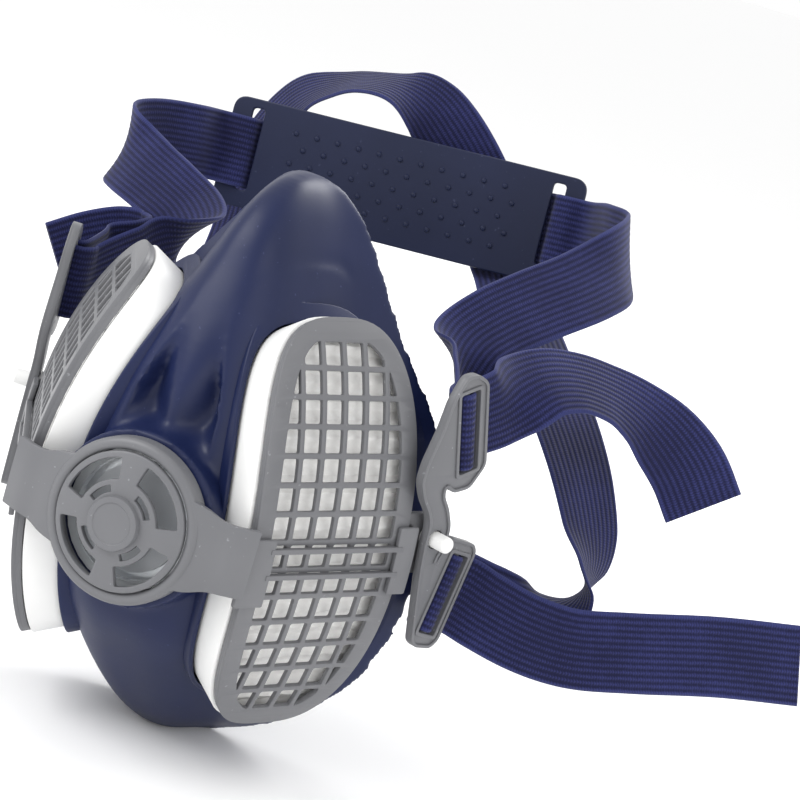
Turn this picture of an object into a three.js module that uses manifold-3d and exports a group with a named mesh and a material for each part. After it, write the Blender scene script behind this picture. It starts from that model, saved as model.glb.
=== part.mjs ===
// Half-mask respirator: moulded facepiece, two bent side filters under a grey yoke with the
// exhalation valve in its middle, and an elastic harness with a head cradle.
// Millimetres, +Z up. X is the wearer's left, -Y is forwards. The mask is drawn about the centre of
// its exhalation valve and then set on the ground under its chin.
import * as THREE from 'three';
import { TessellateModifier } from 'three/addons/modifiers/TessellateModifier.js';
import { mergeVertices } from 'three/addons/utils/BufferGeometryUtils.js';
import Module from 'manifold-3d';

const wasm = await Module();
wasm.setup();

// ---- driving dimensions --------------------------------------------------------------------
const GAP = 0.3;                                  // air left between pieces that touch

// facepiece: each level is [height, front of the nose line, half width at the seal, back of the seal]
const FACE_LEVELS = [
  [83, 43, 3, 49], [81, 35, 8, 52], [76, 27.5, 13.5, 55], [69, 22, 18.5, 57], [60, 18, 24.5, 58],
  [50, 13.5, 31.5, 59], [40, 9.5, 40, 60], [30, 6.5, 47, 60.5], [15, 4.2, 51, 61], [0, 4, 51.5, 62],
  [-15, 5, 50, 63.5], [-25, 8.5, 47.5, 64.5], [-36, 18, 42.5, 65], [-47, 29, 33.5, 65],
  [-55, 38.5, 23.5, 64], [-59, 45, 15, 63], [-60.5, 48.5, 12, 62],
];
const FACE_OUTLINE = [[0, 0], [0.18, 0.015], [0.36, 0.12], [0.56, 0.42], [0.74, 0.74], [1, 1]];
const FACE_WALL = 2.2;
const SEAL_LIP = 8;                               // how far the seal turns inwards behind the edge
const SEAL_THICKNESS = 2;

// side filters: centre of the outer face, the way it looks, and its bent rounded outline
const FILTER_CENTRE = new THREE.Vector3(41, 22.5, 7);
const FILTER_YAW = THREE.MathUtils.degToRad(60);
const FILTER_ROLL = THREE.MathUtils.degToRad(5);
const FILTER_LEAN = THREE.MathUtils.degToRad(2);
const FILTER_BEND = 104;                          // radius of the outer face, seen from the side
const FILTER_HALF = [22, 52.5];
const FILTER_POWER = 3;                           // 2 is an ellipse, more is squarer
const BEND_STEP = 14;                             // no edge of a bent piece is longer, measured along it
const GRILLE_THICKNESS = 2.4;
const GRILLE_RIM = 4.6;
const GRID_PITCH = [6.1, 6.75];
const GRID_BAR = 1.3;
const FRAME_DEPTH = 10.3;
const FRAME_WALL = 1.8;
const PLEAT_PITCH = 4.4;
const GASKET_THICKNESS = 1.3;
const PORT_FLANGE = 3.2;
const PORT_BORE = 13.5;
const SEAT_RADIUS = 15.6;
const INHALE_FLAP_RADIUS = 12.4;

// exhalation valve, along the forward axis through the origin
const RING_RADIUS = 19.4;
const RING_INSIDE = 16.6;
const COVER_RADIUS = 16.3;
const HOUSING_RADIUS = 20.8;
const HOUSING_FRONT = 1.6;
const EXHALE_SEAT_RADIUS = 16.5;
const EXHALE_FLAP_RADIUS = 12.6;

const ARM_HEIGHT = 16.5;
const YOKE_THICKNESS = 2.1;

// strap brackets: a flat plate in the plane of its own frame, swung on the pin
const BRACKET_YAW = THREE.MathUtils.degToRad(68);
const BRACKET_ORIGIN = new THREE.Vector3(54.8, 43.5, 9);
const BRACKET_THICKNESS = 2.4;
const PIN_SPOT = [3.9, 1.4];
const PIN_RADIUS = 2;
const PIN_LENGTH = 5.5;
const RIGHT_SIDE_SWING = THREE.MathUtils.degToRad(-8);  // the wearer's right bracket has swung back
const SLOT = [6.2, 20.8];
const UPPER_SLOT = { spot: [7.7, 31], lean: THREE.MathUtils.degToRad(-21) };
const LOWER_SLOT = { spot: [12.5, -12.5], lean: THREE.MathUtils.degToRad(10.5) };
const SLOT_BAR = [1.6, 1.2];                       // width and depth of the bar a strap loops round

const STRAP_WIDTH = 20;
const STRAP_THICKNESS = 1.2;
const STRAP_SLACK = 0.5;                          // between the bar and the strap round it
const STRAP_LONG_STEP = 9;                        // a longer stretch between stations gets a ring halfway

const CRADLE_CENTRE = new THREE.Vector3(-18, 156, 72.5);
const CRADLE_SIZE = [103, 31, 1.8];
const CRADLE_SLOT = [3.6, 23.5];
const CRADLE_SLOT_REACH = 44;

// ---- materials -----------------------------------------------------------------------------
const plastic = (color, roughness) => new THREE.MeshStandardMaterial({ color, roughness, metalness: 0 });
const NAVY_RUBBER = plastic(0x26335f, 0.5);
const NAVY_PLASTIC = plastic(0x1c2547, 0.55);
const WEBBING = plastic(0x2b3677, 0.85);
const GREY_PLASTIC = plastic(0x77787d, 0.5);
const WHITE_PLASTIC = plastic(0xf2f2f0, 0.5);
const FILTER_FLEECE = plastic(0xf0efea, 0.95);
const CLEAR_PLASTIC = plastic(0xd8dde0, 0.15);
const SILICONE = plastic(0xc9cdd0, 0.4);
const GASKET_FOAM = plastic(0x33353a, 0.9);

// ---- solids --------------------------------------------------------------------------------
function solidOf(geometry) {
  const bare = geometry.clone();
  bare.deleteAttribute('normal');
  bare.deleteAttribute('uv');
  const merged = mergeVertices(bare, 1e-4);
  return new wasm.Manifold(new wasm.Mesh({
    numProp: 3,
    vertProperties: new Float32Array(merged.attributes.position.array),
    triVerts: new Uint32Array(merged.index.array),
  }));
}

function geometryOf(solid) {
  const mesh = solid.getMesh();
  const geometry = new THREE.BufferGeometry();
  geometry.setAttribute('position', new THREE.BufferAttribute(mesh.vertProperties, 3));
  geometry.setIndex(new THREE.BufferAttribute(mesh.triVerts, 1));
  geometry.computeVertexNormals();
  return geometry;
}

const join = (...geometries) => geometryOf(geometries.map(solidOf).reduce((a, b) => a.add(b)));
const cut = (geometry, ...tools) => geometryOf(tools.map(solidOf).reduce((a, b) => a.subtract(b),
  solidOf(geometry)));
const overlapOf = (a, b) => geometryOf(solidOf(a).intersect(solidOf(b)));

function mapped(geometry, place) {
  const copy = geometry.clone();
  const spot = new THREE.Vector3();
  const position = copy.attributes.position;
  for (let i = 0; i < position.count; i += 1) {
    const moved = place(spot.fromBufferAttribute(position, i));
    position.setXYZ(i, moved.x, moved.y, moved.z);
  }
  return copy;
}

function turnedInsideOut(geometry) {
  const index = geometry.index.array;
  for (let i = 0; i < index.length; i += 3) {
    [index[i], index[i + 1]] = [index[i + 1], index[i]];
  }
  return geometry;
}

function facingOut(geometry) {
  const corner = new THREE.Vector3();
  const at = (i) => corner.clone().fromBufferAttribute(geometry.attributes.position, geometry.index.getX(i));
  let volume = 0;
  for (let i = 0; i < geometry.index.count; i += 3) {
    volume += at(i).dot(at(i + 1).cross(at(i + 2)));
  }
  return volume > 0 ? geometry : turnedInsideOut(geometry);
}

const mirrored = (geometry) => turnedInsideOut(
  mapped(geometry, (p) => new THREE.Vector3(-p.x, p.y, p.z)));

// a closed skin through rings that all have the same number of points
function loft(rings) {
  const count = rings[0].length;
  const points = rings.flat();
  const faces = [];
  for (let r = 0; r < rings.length - 1; r += 1) {
    for (let i = 0; i < count; i += 1) {
      const a = r * count + i;
      const b = r * count + ((i + 1) % count);
      faces.push(a, b, b + count, a, b + count, a + count);
    }
  }
  const capEnd = (ring, first, flip) => {
    const centre = ring.reduce((sum, p) => sum.add(p), new THREE.Vector3()).divideScalar(count);
    const middle = points.push(centre) - 1;
    for (let i = 0; i < count; i += 1) {
      const next = (i + 1) % count;
      faces.push(middle, first + (flip ? next : i), first + (flip ? i : next));
    }
  };
  capEnd(rings[0], 0, true);
  capEnd(rings.at(-1), (rings.length - 1) * count, false);
  const geometry = new THREE.BufferGeometry().setFromPoints(points);
  geometry.setIndex(faces);
  return facingOut(geometry);
}

// a flat outline with holes, raised from one height to another
function prism(outline, from, to, holes = []) {
  const shape = new THREE.Shape(outline);
  shape.holes = holes.map((hole) => new THREE.Path(hole));
  const geometry = new THREE.ExtrudeGeometry(shape, { depth: to - from, bevelEnabled: false });
  return mergeVertices(bareOf(geometry.translate(0, 0, from)), 1e-4);
}

// the same with many holes in line, each cut on its own
const pierced = (outline, from, to, holes) => cut(prism(outline, from, to),
  ...holes.map((hole) => prism(hole, from - 1, to + 1)));

function bareOf(geometry) {
  geometry.deleteAttribute('normal');
  geometry.deleteAttribute('uv');
  return geometry;
}

const circle = (radius, count = 28, centre = [0, 0]) => Array.from({ length: count }, (_, i) => {
  const angle = (i / count) * 2 * Math.PI;
  return new THREE.Vector2(centre[0] + radius * Math.cos(angle), centre[1] + radius * Math.sin(angle));
});

const rectangle = (width, height, centre = [0, 0], lean = 0) => [[-1, -1], [1, -1], [1, 1], [-1, 1]]
  .map(([x, y]) => new THREE.Vector2((x * width) / 2, (y * height) / 2)
    .rotateAround(new THREE.Vector2(), lean).add(new THREE.Vector2(...centre)));

function roundedRectangle(width, height, radius, corner = 4) {
  const points = [];
  [[1, -1, -90], [1, 1, 0], [-1, 1, 90], [-1, -1, 180]].forEach(([x, y, start]) => {
    for (let i = 0; i <= corner; i += 1) {
      const angle = THREE.MathUtils.degToRad(start + (90 * i) / corner);
      points.push(new THREE.Vector2(
        x * (width / 2 - radius) + radius * Math.cos(angle),
        y * (height / 2 - radius) + radius * Math.sin(angle),
      ));
    }
  });
  return points;
}

// an open ring sector between two radii, for a curved window
function ringSector(inner, outer, from, to, steps) {
  const arc = (radius, a, b) => Array.from({ length: steps + 1 }, (_, i) => {
    const angle = THREE.MathUtils.degToRad(a + ((b - a) * i) / steps);
    return new THREE.Vector2(radius * Math.cos(angle), radius * Math.sin(angle));
  });
  return [...arc(outer, from, to), ...arc(inner, to, from)];
}

// ---- facepiece -----------------------------------------------------------------------------
// one level's loop: up the wearer's left side from the nose line, round the seal, and back
function faceRing([height, front, halfWidth, back], inset, lift) {
  const depth = back - front - inset - lift;
  const half = new THREE.SplineCurve(FACE_OUTLINE.map(([x, y]) => new THREE.Vector2(
    x * Math.max(halfWidth - inset, 0.6),
    front + inset + y * Math.max(depth, 1.2),
  ))).getPoints(8);
  const right = half.map((p) => new THREE.Vector3(p.x, p.y, height));
  const left = half.slice(1).reverse().map((p) => new THREE.Vector3(-p.x, p.y, height));
  return [...right, ...left];
}

function faceSolid(inset, lift) {
  const squeeze = (z) => z - Math.sign(z - 10) * inset * Math.min(1, Math.abs(z - 10) / 60);
  return loft(FACE_LEVELS.map(([z, ...rest]) => faceRing([squeeze(z), ...rest], inset, lift)));
}

// the hole in the seal that the nose and mouth go through, wide open at the back
function sealOpening() {
  const shrink = (z) => 10 + (z - 10) * 0.86;
  const rings = FACE_LEVELS.slice(1, -1).map(([z, , halfWidth, back]) => {
    const half = Math.max(halfWidth - SEAL_LIP, 1.5);
    return [[-half, back - 6], [half, back - 6], [half, back + 8], [-half, back + 8]]
      .map(([x, y]) => new THREE.Vector3(x, y, shrink(z)));
  });
  return loft(rings);
}

// ---- side filters, built flat as (across, along, out) and then bent onto the mask --------------
function superellipse(grow, count) {
  const bow = (value) => Math.sign(value) * Math.abs(value) ** (2 / FILTER_POWER);
  const fine = Array.from({ length: 721 }, (_, i) => {
    const angle = (i / 360) * Math.PI;
    return new THREE.Vector2(
      (FILTER_HALF[0] + grow) * bow(Math.cos(angle)),
      (FILTER_HALF[1] + grow) * bow(Math.sin(angle)),
    );
  });
  const lengths = [0];
  fine.slice(1).forEach((p, i) => lengths.push(lengths[i] + p.distanceTo(fine[i])));
  return Array.from({ length: count }, (_, i) => {
    const goal = (i / count) * lengths.at(-1);
    const k = lengths.findIndex((length) => length > goal);
    return fine[k - 1].clone().lerp(fine[k], (goal - lengths[k - 1]) / (lengths[k] - lengths[k - 1]));
  });
}

const across = new THREE.Vector3(Math.cos(FILTER_YAW), Math.sin(FILTER_YAW), 0);
const outward = new THREE.Vector3(Math.sin(FILTER_YAW), -Math.cos(FILTER_YAW), 0);
const along = new THREE.Vector3(0, 0, Math.cos(FILTER_LEAN)).addScaledVector(outward, -Math.sin(FILTER_LEAN));
outward.multiplyScalar(Math.cos(FILTER_LEAN)).add(new THREE.Vector3(0, 0, Math.sin(FILTER_LEAN)));
along.applyAxisAngle(outward, FILTER_ROLL);
across.applyAxisAngle(outward, FILTER_ROLL);
if (new THREE.Vector3().crossVectors(across, along).dot(outward) < 0) {
  throw new Error('the filter frame is left-handed');
}

const onFilter = (p) => {
  const turn = p.y / FILTER_BEND;
  return FILTER_CENTRE.clone()
    .addScaledVector(across, p.x)
    .addScaledVector(along, (FILTER_BEND + p.z) * Math.sin(turn))
    .addScaledVector(outward, (FILTER_BEND + p.z) * Math.cos(turn) - FILTER_BEND);
};
const onFlat = (p) => FILTER_CENTRE.clone()
  .addScaledVector(across, p.x).addScaledVector(along, p.y).addScaledVector(outward, p.z);

// edges that are long the way the filter bends are split first, so that they follow the bend
function bent(geometry) {
  const narrow = (factor) => (p) => new THREE.Vector3(p.x * factor, p.y, p.z * factor);
  const slim = mapped(geometry, narrow(0.05)).toNonIndexed();
  const split = mapped(new TessellateModifier(BEND_STEP, 8).modify(slim), narrow(20));
  return mapped(mergeVertices(bareOf(split), 1e-3), onFilter);
}
const seated = (geometry) => mapped(geometry, onFlat);

// what is left of a convex polygon inside another
function clipped(polygon, frame) {
  return frame.reduce((points, a, i) => {
    const b = frame[(i + 1) % frame.length];
    const side = (p) => (b.x - a.x) * (p.y - a.y) - (b.y - a.y) * (p.x - a.x);
    const kept = [];
    points.forEach((p, k) => {
      const next = points[(k + 1) % points.length];
      const [here, there] = [side(p), side(next)];
      if (here >= 0) {
        kept.push(p);
      }
      if (here * there < 0) {
        kept.push(p.clone().lerp(next, here / (here - there)));
      }
    });
    return kept;
  }, polygon);
}

function grilleHoles() {
  const frame = superellipse(-GRILLE_RIM, 40);
  const [columns, rows] = [3, 7];
  const holes = [];
  for (let column = -columns; column < columns; column += 1) {
    for (let row = -rows; row < rows; row += 1) {
      const centre = [(column + 0.5) * GRID_PITCH[0], (row + 0.5) * GRID_PITCH[1]];
      const cell = rectangle(GRID_PITCH[0] - GRID_BAR, GRID_PITCH[1] - GRID_BAR, centre);
      const hole = clipped(cell, frame);
      if (hole.length > 2 && Math.abs(THREE.ShapeUtils.area(hole)) > 4) {
        holes.push(hole);
      }
    }
  }
  return holes;
}

const grilleBack = -GRILLE_THICKNESS;
const frameFront = grilleBack - GAP;
const frameBack = frameFront - FRAME_DEPTH;
const gasketBack = frameBack - GAP - GASKET_THICKNESS;
const flangeFront = gasketBack - GAP;
const seatFloor = flangeFront - 2;

const makeGrille = () => pierced(superellipse(0, 40), grilleBack, 0, grilleHoles());

function makeFrame() {
  const wall = prism(superellipse(0.7, 30), frameBack, frameFront, [superellipse(0.7 - FRAME_WALL, 30)]);
  const floor = prism(superellipse(0.7, 30), frameBack, frameBack + 1.2, [superellipse(-5, 30)]);
  return join(wall, floor);
}

// folded paper: a zigzag sheet block cut to the inside of the frame
function makeMedia() {
  const [top, fold] = [frameFront - 0.6, 2.6];
  const bottom = frameBack + 1.2 + GAP;
  const reach = FILTER_HALF[1];
  const outline = [new THREE.Vector2(reach, bottom), new THREE.Vector2(-reach, bottom)];
  for (let y = -reach; y <= reach; y += PLEAT_PITCH) {
    outline.push(new THREE.Vector2(y, top - fold), new THREE.Vector2(y + PLEAT_PITCH / 2, top));
  }
  const folded = prism(outline, -FILTER_HALF[0], FILTER_HALF[0]);
  const turned = mapped(folded, (p) => new THREE.Vector3(p.z, p.x, p.y));
  const block = prism(superellipse(0.7 - FRAME_WALL - GAP, 30), bottom - 1, top + 1);
  return overlapOf(turned, block);
}

const makeGasket = () => prism(superellipse(-1, 30), gasketBack, frameBack - GAP, [superellipse(-5.5, 30)]);

// a disc with round openings between its spokes and a small stem hole, for a valve seat
const spokedDisc = (radius, reach, from, to) => prism(circle(radius), from, to,
  [0, 1, 2, 3].map((k) => ringSector(3, reach, 12 + 90 * k, 78 + 90 * k, 4)));

// ---- the parts ------------------------------------------------------------------------------
const forward = (geometry) => mapped(geometry, (p) => new THREE.Vector3(p.x, -p.z, p.y));

function makeFacepiece() {
  const fairing = (grow, from, to, spread) => loft([from, (from + to) / 2, to].map((n, k) => (
    superellipse(grow + (spread * k) / 2, 24).map((p) => onFilter(new THREE.Vector3(p.x, p.y, n))))));
  const flange = bent(prism(superellipse(2.4, 30), flangeFront - PORT_FLANGE, flangeFront));
  const blend = fairing(1.4, flangeFront - PORT_FLANGE + 0.5, flangeFront - 15, 4);
  const housing = forward(prism(circle(HOUSING_RADIUS, 36), -14, -HOUSING_FRONT));
  const outside = join(faceSolid(0, 0), flange, mirrored(flange), blend, mirrored(blend), housing);
  const keepWall = bent(prism(superellipse(1.6, 30), flangeFront - PORT_FLANGE, flangeFront + 1));
  const cavity = cut(faceSolid(FACE_WALL, SEAL_THICKNESS), keepWall, mirrored(keepWall),
    forward(prism(circle(HOUSING_RADIUS - 0.6, 36), -9, 0)));
  const filterSpace = bent(prism(superellipse(0.7 + 2 * GAP, 30), flangeFront, 8));
  const bore = seated(prism(circle(PORT_BORE), flangeFront - 22, flangeFront + 1));
  const recess = seated(prism(circle(SEAT_RADIUS + GAP), seatFloor, flangeFront + 1));
  const valveBore = forward(prism(circle(14.2), -20, 0));
  const valveRecess = forward(prism(circle(EXHALE_SEAT_RADIUS + GAP), -6.3, 0));
  return cut(outside, cavity, sealOpening(), filterSpace, mirrored(filterSpace), bore, mirrored(bore),
    recess, mirrored(recess), valveBore, valveRecess);
}

// domed disc with four wide outer windows, four narrow inner ones and a plain boss
function makeValveCover() {
  const windows = [0, 1, 2, 3].flatMap((k) => [
    ringSector(10, 14.8, 12 + 90 * k, 78 + 90 * k, 5),
    ringSector(7.2, 8.7, 24 + 90 * k, 66 + 90 * k, 3),
  ]);
  const disc = prism(circle(COVER_RADIUS, 36), 2.6, 4.2, windows);
  const dome = mapped(disc, (p) => p.setZ(p.z + 2.6 * (1 - (Math.hypot(p.x, p.y) / COVER_RADIUS) ** 2)));
  const boss = prism(circle(6.3, 24), 5, 8);
  return forward(join(dome, boss));
}

const overFilter = ([x0, x1], [y0, y1], from, to) => bent(prism(
  rectangle(x1 - x0, y1 - y0, [(x0 + x1) / 2, (y0 + y1) / 2]), from, to));

// from the ring to the filter's inner rim, two ribs across the grille, and the tab and ear beyond
function makeYokeSide() {
  const edge = FILTER_HALF[0];
  const onto = onFilter(new THREE.Vector3(-edge - 2, -7, 1.2));
  const path = [[15.5, -1.2, 2.6], [19, -0.9, 1.8], [23, -0.3, 0.3], [26.5, 0.1, 0], [onto.x, onto.y, 0]];
  const slab = path.map(([x, y, flare], k) => {
    const [top, bottom] = [ARM_HEIGHT / 2 + flare, -ARM_HEIGHT / 2 - flare];
    const rise = (k * k) / 25;
    const reach = k < path.length - 1 ? [0, -YOKE_THICKNESS] : [outward.x * 2, outward.y * 2];
    return [[0, top], [0, bottom], [1, bottom], [1, top]].map(([out, z]) => (
      new THREE.Vector3(x + out * reach[0], y + out * reach[1], z + rise)));
  });
  const hook = overFilter([-edge - 2.8, -edge + 5.2], [-15.2, 1.2], GAP, GAP + YOKE_THICKNESS);
  const ribs = [-1.6, -7.8].map((y) => overFilter([-edge + 4, edge - 2], [y - 0.6, y + 0.6], GAP, GAP + 1.5));
  const tab = overFilter([edge - 3.5, edge + 1.9], [-13, 3.6], GAP, GAP + 2);
  const step = overFilter([edge + 1.1, edge + 1.9], [-9, 3.6], -3.6, GAP + 1);
  const ear = overFilter([edge + 1.1, edge + 9.6], [-9, 6.4], -3.6, -1.5);
  return join(loft(slab), hook, ...ribs, tab, step, ear);
}

function makeYoke() {
  const lip = new THREE.LatheGeometry([
    [RING_INSIDE, -1.2], [RING_RADIUS, -1.2], [RING_RADIUS, 2.4], [RING_RADIUS - 0.9, 3.6],
    [RING_INSIDE + 0.6, 3.6], [RING_INSIDE, 3], [RING_INSIDE, -1.2],
  ].map(([r, h]) => new THREE.Vector2(r, h)), 40);
  const ring = facingOut(mergeVertices(mapped(bareOf(lip), (p) => new THREE.Vector3(p.x, -p.y, -p.z)), 1e-3));
  const side = makeYokeSide();
  const well = forward(prism(circle(RING_INSIDE, 40), -6, 9));
  return join(ring, cut(side, well), cut(mirrored(side), well));
}

// ---- strap brackets, drawn flat as (back, up, out) ------------------------------------------------
const bracketBack = new THREE.Vector3(Math.cos(BRACKET_YAW), Math.sin(BRACKET_YAW), 0);
const bracketOut = new THREE.Vector3(Math.sin(BRACKET_YAW), -Math.cos(BRACKET_YAW), 0);
const BRACKET_OUTLINE = [
  [1.8, -8], [3, -12.5], [4.4, -18], [6.2, -24.8], [8, -26.2], [13.6, -26.6], [15.8, -24.6], [19.8, -1.6],
  [18.4, 0.6], [9.6, 2.2], [7.8, -0.8], [6.2, -4.8], [6.2, -2.6], [8, 0.6], [8.3, 5.4], [7.2, 10.4], [4.8, 14.4],
  [5, 17.2], [8.4, 15.8], [13.8, 17.2], [17.2, 23.4], [9.2, 43.8], [5, 45.4], [1.2, 44.4], [-1.2, 38],
  [-1.8, 31], [-3.6, 22.5], [-3.6, 17.4], [-1.4, 11], [0, 5], [0.4, 0],
];

function onBracket(swing) {
  return (p) => {
    const flat = new THREE.Vector2(p.x, p.y).rotateAround(new THREE.Vector2(...PIN_SPOT), swing);
    return BRACKET_ORIGIN.clone()
      .addScaledVector(bracketBack, flat.x)
      .addScaledVector(bracketOut, p.z)
      .add(new THREE.Vector3(0, 0, flat.y));
  };
}

function makeBracket(swing) {
  const half = BRACKET_THICKNESS / 2;
  const window = ({ spot, lean }) => rectangle(...SLOT, spot, -lean);
  const holes = [circle(PIN_RADIUS + 0.35, 16, PIN_SPOT), window(UPPER_SLOT), window(LOWER_SLOT)];
  const plate = prism(BRACKET_OUTLINE.map(([x, y]) => new THREE.Vector2(x, y)), -half, half, holes);
  const bars = [UPPER_SLOT, LOWER_SLOT].map(({ spot, lean }) => prism(
    rectangle(SLOT_BAR[0], SLOT[1] + 1, spot, -lean), -half, SLOT_BAR[1] - half));
  return mapped(join(plate, ...bars), onBracket(swing));
}

function makePin() {
  const profile = [[0, -1.9], [2.9, -1.9], [2.9, -1.5], [PIN_RADIUS, -1.5], [PIN_RADIUS, PIN_LENGTH - 0.8],
    [PIN_RADIUS - 0.8, PIN_LENGTH], [0, PIN_LENGTH]].map(([r, h]) => new THREE.Vector2(r, h));
  const lathe = mergeVertices(bareOf(new THREE.LatheGeometry(profile, 14)), 1e-3);
  const upright = mapped(lathe, (p) => new THREE.Vector3(p.x + PIN_SPOT[0], -p.z + PIN_SPOT[1], p.y));
  return facingOut(mapped(upright, onBracket(0)));
}

// ---- head cradle, drawn flat as (wearer's left, up, towards the face) ---------------------------
const cradleSide = new THREE.Vector3(0.978, 0.199, 0.064).normalize();
const cradleFace = new THREE.Vector3(0.19, -0.97, 0.13).normalize();
const cradleUp = new THREE.Vector3().crossVectors(cradleFace, cradleSide).normalize();
cradleFace.crossVectors(cradleSide, cradleUp).normalize();

const onCradle = (p) => CRADLE_CENTRE.clone()
  .addScaledVector(cradleSide, p.x).addScaledVector(cradleUp, p.y).addScaledVector(cradleFace, p.z);

function makeCradle() {
  const [width, height, thickness] = CRADLE_SIZE;
  const slots = [-1, 1].map((side) => rectangle(...CRADLE_SLOT, [side * CRADLE_SLOT_REACH, 1.2]));
  return facingOut(mapped(pierced(roundedRectangle(width, height, 4), -thickness / 2, thickness / 2, slots),
    onCradle));
}

// ---- harness straps ---------------------------------------------------------------------------
// a station is [x, y, z] of the strap's middle and the way its upper edge points
const station = (x, y, z, ...edge) => ({ spot: new THREE.Vector3(x, y, z), edge: new THREE.Vector3(...edge) });

// round the bar of a slot: in behind it from the cradle, over the front and back out to the tail
function roundBar({ spot, lean }, side) {
  const place = onBracket(side > 0 ? 0 : RIGHT_SIDE_SWING);
  const flat = (acrossBar, alongBar, out) => {
    const turned = new THREE.Vector2(acrossBar, alongBar).rotateAround(new THREE.Vector2(), -lean);
    const p = place(new THREE.Vector3(spot[0] + turned.x, spot[1] + turned.y, out));
    return p.setX(p.x * side);
  };
  const [turn, depth] = SLOT_BAR.map((size) => (size + STRAP_THICKNESS) / 2 + STRAP_SLACK);
  const barMiddle = (SLOT_BAR[1] - BRACKET_THICKNESS) / 2;
  const arc = [-90, -45, 0, 45, 90].map((degrees) => {
    const angle = THREE.MathUtils.degToRad(degrees);
    return [turn * Math.sin(angle), barMiddle + depth * Math.cos(angle)];
  });
  const steps = [[3.4, -7], [-0.6, -5], [-turn, -3], ...arc, [turn, -1.6], [3.4, -3.1]];
  return steps.map(([acrossBar, out]) => {
    const middle = flat(acrossBar, 0, out);
    return { spot: middle, edge: flat(acrossBar, 1, out).sub(middle) };
  });
}

function throughCradle(side) {
  const steps = [[30, -3.4], [40.5, -3.2], [43.2, -1.6], [44.8, 1.4], [47.5, 2.4], [53, 2.6]];
  return steps.map(([reach, out]) => ({
    spot: onCradle(new THREE.Vector3(side * reach, 0, out)),
    edge: cradleUp.clone(),
  }));
}

const UPPER_LEFT_SIDE = [
  station(49, 141, 80, -0.2, -0.1, 0.97), station(58, 129, 80.5, -0.35, 0.1, 0.93),
  station(60.5, 116, 77.5, -0.45, 0.3, 0.84), station(57, 103, 71.5, -0.5, 0.4, 0.77),
  station(50.5, 91.5, 65, -0.5, 0.4, 0.77), station(45, 82, 59, -0.52, 0.42, 0.74),
  station(42, 74.5, 53.5, -0.56, 0.45, 0.7), station(42.5, 68, 48.5, -0.5, 0.3, 0.81),
  station(46, 61.5, 44.5, -0.35, 0, 0.94),
];
const UPPER_LEFT_TAIL = [
  station(59, 59.5, 43.4, -0.2, -0.1, 0.97), station(61, 65, 47.2, -0.4, 0.35, 0.84),
  station(64.5, 71, 51, -0.42, 0.66, 0.62), station(70, 78, 52.4, -0.42, 0.74, 0.52),
  station(77.5, 85, 51.2, -0.38, 0.74, 0.55), station(85, 90, 48.2, -0.25, 0.62, 0.74),
  station(92, 93, 44, 0, 0.42, 0.9), station(99, 95, 38.3, 0.25, 0.3, 0.92),
  station(105.5, 95.5, 30.5, 0.5, 0.35, 0.79),
];
const UPPER_RIGHT_SIDE = [
  station(-71.5, 133, 70, -0.1, 0, 0.99), station(-77.5, 121, 69.5, -0.12, 0.1, 0.98),
  station(-79.5, 111, 67.8, -0.15, 0.35, 0.92), station(-76, 102, 65.5, -0.1, 0.5, 0.86),
  station(-68, 96, 63.5, -0.05, 0.6, 0.8), station(-58, 92, 61, 0, 0.65, 0.76),
  station(-48.5, 88.5, 58, 0.05, 0.7, 0.72), station(-42, 82, 54.5, 0.1, 0.7, 0.7),
  station(-41, 74, 50, 0.25, 0.5, 0.82), station(-45.5, 67, 45.5, 0.3, 0.2, 0.92),
];
const UPPER_RIGHT_TAIL = [
  station(-57, 68, 41.8, 0.1, 0.05, 0.99), station(-53.5, 74, 44.6, 0, -0.2, 0.97),
  station(-51.8, 79.5, 46.4, -0.2, -0.4, 0.86), station(-55, 82.5, 46.8, -0.35, -0.5, 0.77),
  station(-60, 80, 45.6, -0.42, -0.5, 0.74), station(-65.5, 73.5, 42.4, -0.5, -0.5, 0.7),
  station(-71, 66, 37.5, -0.6, -0.45, 0.66),
];
const LOWER_LEFT_TAIL = [
  station(61.6, 63, -4.6, 0.03, 0.12, 0.98), station(68, 65, -6.4, -0.05, 0.05, 0.99),
  station(79, 68, -8.6, -0.1, 0, 0.99), station(90, 71.5, -8.8, -0.1, 0, 0.99),
  station(104, 74, -5, -0.12, 0, 0.99), station(124, 76.5, 1.5, -0.18, -0.06, 0.98),
  station(143, 78, 6.5, -0.25, -0.1, 0.96),
];
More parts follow.
